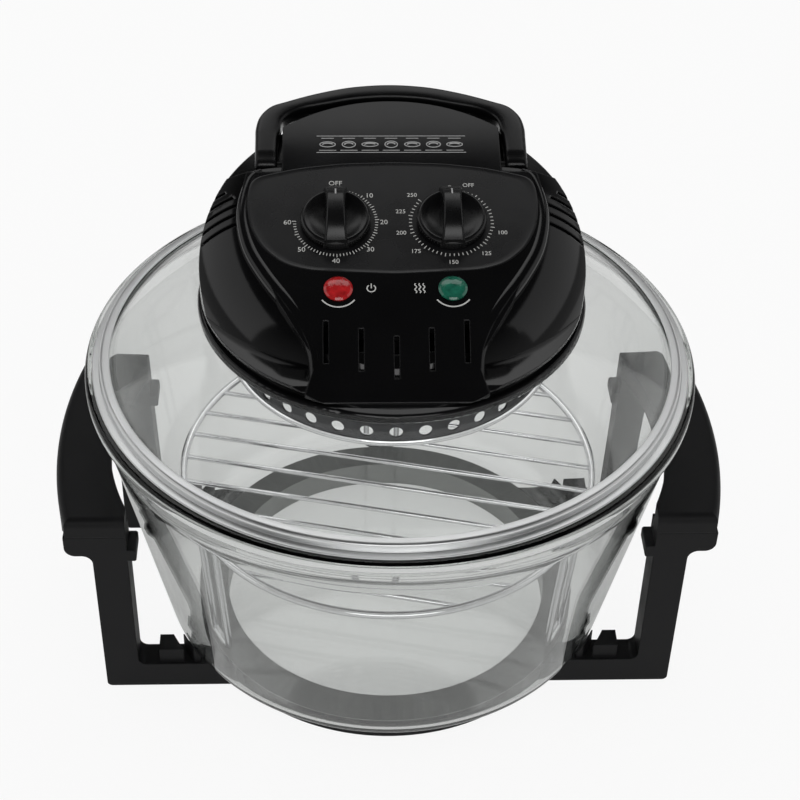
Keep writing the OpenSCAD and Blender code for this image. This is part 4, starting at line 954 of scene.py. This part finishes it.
class OVEN_OT_stage(bpy.types.Operator):
    """White floor, soft lamps, even world light and the camera of the photograph."""

    bl_idname = "oven.stage"
    bl_label = "Stage and camera"

    def execute(self, context):
        s = context.scene.oven_stage
        scene = context.scene
        scene.view_settings.view_transform = "Standard"
        mesh = bpy.data.meshes.new("floor")
        mesh.from_pydata([(-6, -6, 0), (6, -6, 0), (6, 6, 0), (-6, 6, 0)], [], [(0, 1, 2, 3)])
        floor = bpy.data.objects.new("floor", mesh)
        scene.collection.objects.link(floor)
        paint = bpy.data.materials.new("white floor")
        paint.use_nodes = True
        tree = paint.node_tree
        body = tree.nodes["Principled BSDF"]
        body.inputs["Base Color"].default_value = (0.86, 0.86, 0.855, 1)
        body.inputs["Roughness"].default_value = 0.9
        body.inputs["Specular IOR Level"].default_value = 0.0
        glow = add_node(tree, "ShaderNodeEmission", Strength=1.0)
        ray = add_node(tree, "ShaderNodeLightPath")
        share = operation(tree, "MULTIPLY", ray.outputs["Is Camera Ray"], 0.9)
        for kind, part in (("Is Glossy Ray", 0.4), ("Is Transmission Ray", 0.5)):
            seen = operation(tree, "MULTIPLY", ray.outputs[kind], part)
            share = operation(tree, "MAXIMUM", share, seen)
        mixed(tree, share, body, glow, "Material Output")
        mesh.materials.append(paint)
        world = bpy.data.worlds.new("studio")
        scene.world = world
        world.use_nodes = True
        tree = world.node_tree
        base = tree.nodes["Background"]
        place = add_node(tree, "ShaderNodeTexCoord").outputs["Generated"]
        height = add_node(tree, "ShaderNodeSeparateXYZ", Vector=place).outputs["Z"]
        mirrored = colours_between(tree, height, (1, 1, 1), (0.1, 0.1, 0.1), 0.0, 0.6)
        ray = add_node(tree, "ShaderNodeLightPath")
        shiny = ray.outputs["Is Glossy Ray"]
        dim = add_node(tree, "ShaderNodeMapRange", Value=shiny, To_Min=s.world, To_Max=0.6 * s.world)
        tree.links.new(dim.outputs[0], base.inputs["Strength"])
        seen = add_node(tree, "ShaderNodeMixRGB", Fac=shiny, Color1=(1, 1, 1, 1), Color2=mirrored)
        tree.links.new(seen.outputs[0], base.inputs["Color"])
        white = add_node(tree, "ShaderNodeBackground", Color=(1, 1, 1, 1))
        through = operation(tree, "MULTIPLY", ray.outputs["Is Transmission Ray"], 0.7)
        share = operation(tree, "MAXIMUM", ray.outputs["Is Camera Ray"], through)
        mixed(tree, share, base, white, "World Output")
        tree.links.new(dim.outputs[0], base.inputs["Strength"])
        for name, place, size, power, colour in (
                ("left_bank", (-2.0, 0.2, 1.2), (2.4, 1.3), 5.5, (1, 1, 1)),
                ("right_bank", (2.0, 0.2, 1.2), (2.4, 1.3), 4.5, (1, 1, 1)),
                ("rear_roof", (0.0, 1.0, 1.5), (1.8, 0.8), 4.6, (1, 1, 1)),
                ("front_fill", (0.1, -2.2, 1.5), (1.8, 1.0), 12.0, (1, 1, 1))):
            data = bpy.data.lights.new(name, "AREA")
            data.shape, data.size, data.size_y = "RECTANGLE", *size
            data.energy, data.color = power, colour
            lamp = bpy.data.objects.new(name, data)
            scene.collection.objects.link(lamp)
            lamp.location = place
            way = Vector((0, 0, 0.2)) - Vector(place)
            lamp.rotation_euler = way.to_track_quat("-Z", "Y").to_euler()
        data = bpy.data.cameras.new("camera")
        camera = bpy.data.objects.new("camera", data)
        scene.collection.objects.link(camera)
        target = Vector((0, 0, 0.158))
        ce = math.cos(s.elevation)
        way = Vector((math.sin(s.azimuth) * ce, -math.cos(s.azimuth) * ce, math.sin(s.elevation)))
        camera.location = target + way * s.distance
        turn = (-way).to_track_quat("-Z", "Y").to_matrix() @ Matrix.Rotation(math.radians(1.27), 3, "Z")
        camera.rotation_euler = turn.to_euler()
        data.lens = 81.0
        data.sensor_width = 36.0
        data.shift_x = 0.0132
        data.clip_end = 20.0
        scene.camera = camera
        return {"FINISHED"}


class OVEN_PT_panel(bpy.types.Panel):
    """Lists the steps that dress the oven."""

    bl_label = "Halogen oven"
    bl_idname = "OVEN_PT_panel"
    bl_space_type = "VIEW_3D"
    bl_region_type = "UI"
    bl_category = "Oven"

    def draw(self, context):
        for step in STEPS:
            self.layout.operator(step.bl_idname)


STEPS = (OVEN_OT_stage, OVEN_OT_plain_nodes, OVEN_OT_bowl, OVEN_OT_lid, OVEN_OT_rack, OVEN_OT_guard,
         OVEN_OT_handle, OVEN_OT_knobs, OVEN_OT_ridges, OVEN_OT_dial_field, OVEN_OT_prints, OVEN_OT_lamps)
GROUPS = {"oven_colours": OvenColours, "oven_glass": OvenGlass, "oven_wires": OvenWires,
          "oven_dials": OvenDials, "oven_stage": OvenStage}


def register():
    for kind in (*GROUPS.values(), *STEPS, OVEN_PT_panel):
        bpy.utils.register_class(kind)
    for name, kind in GROUPS.items():
        setattr(bpy.types.Scene, name, PointerProperty(type=kind))


def unregister():
    for name in GROUPS:
        delattr(bpy.types.Scene, name)
    for kind in reversed((*GROUPS.values(), *STEPS, OVEN_PT_panel)):
        bpy.utils.unregister_class(kind)


def main():
    register()
    FINISHES.update(finish_table(bpy.context.scene.oven_colours))
    bpy.ops.oven.stage()
    bpy.ops.oven.plain_nodes()
    bpy.ops.oven.bowl()
    bpy.ops.oven.lid()
    bpy.ops.oven.rack()
    bpy.ops.oven.guard()
    bpy.ops.oven.handle()
    bpy.ops.oven.knobs()
    bpy.ops.oven.ridges()
    bpy.ops.oven.dial_field()
    bpy.ops.oven.prints()
    bpy.ops.oven.lamps()
    bpy.context.view_layer.update()


if __name__ == "__main__":
    main()
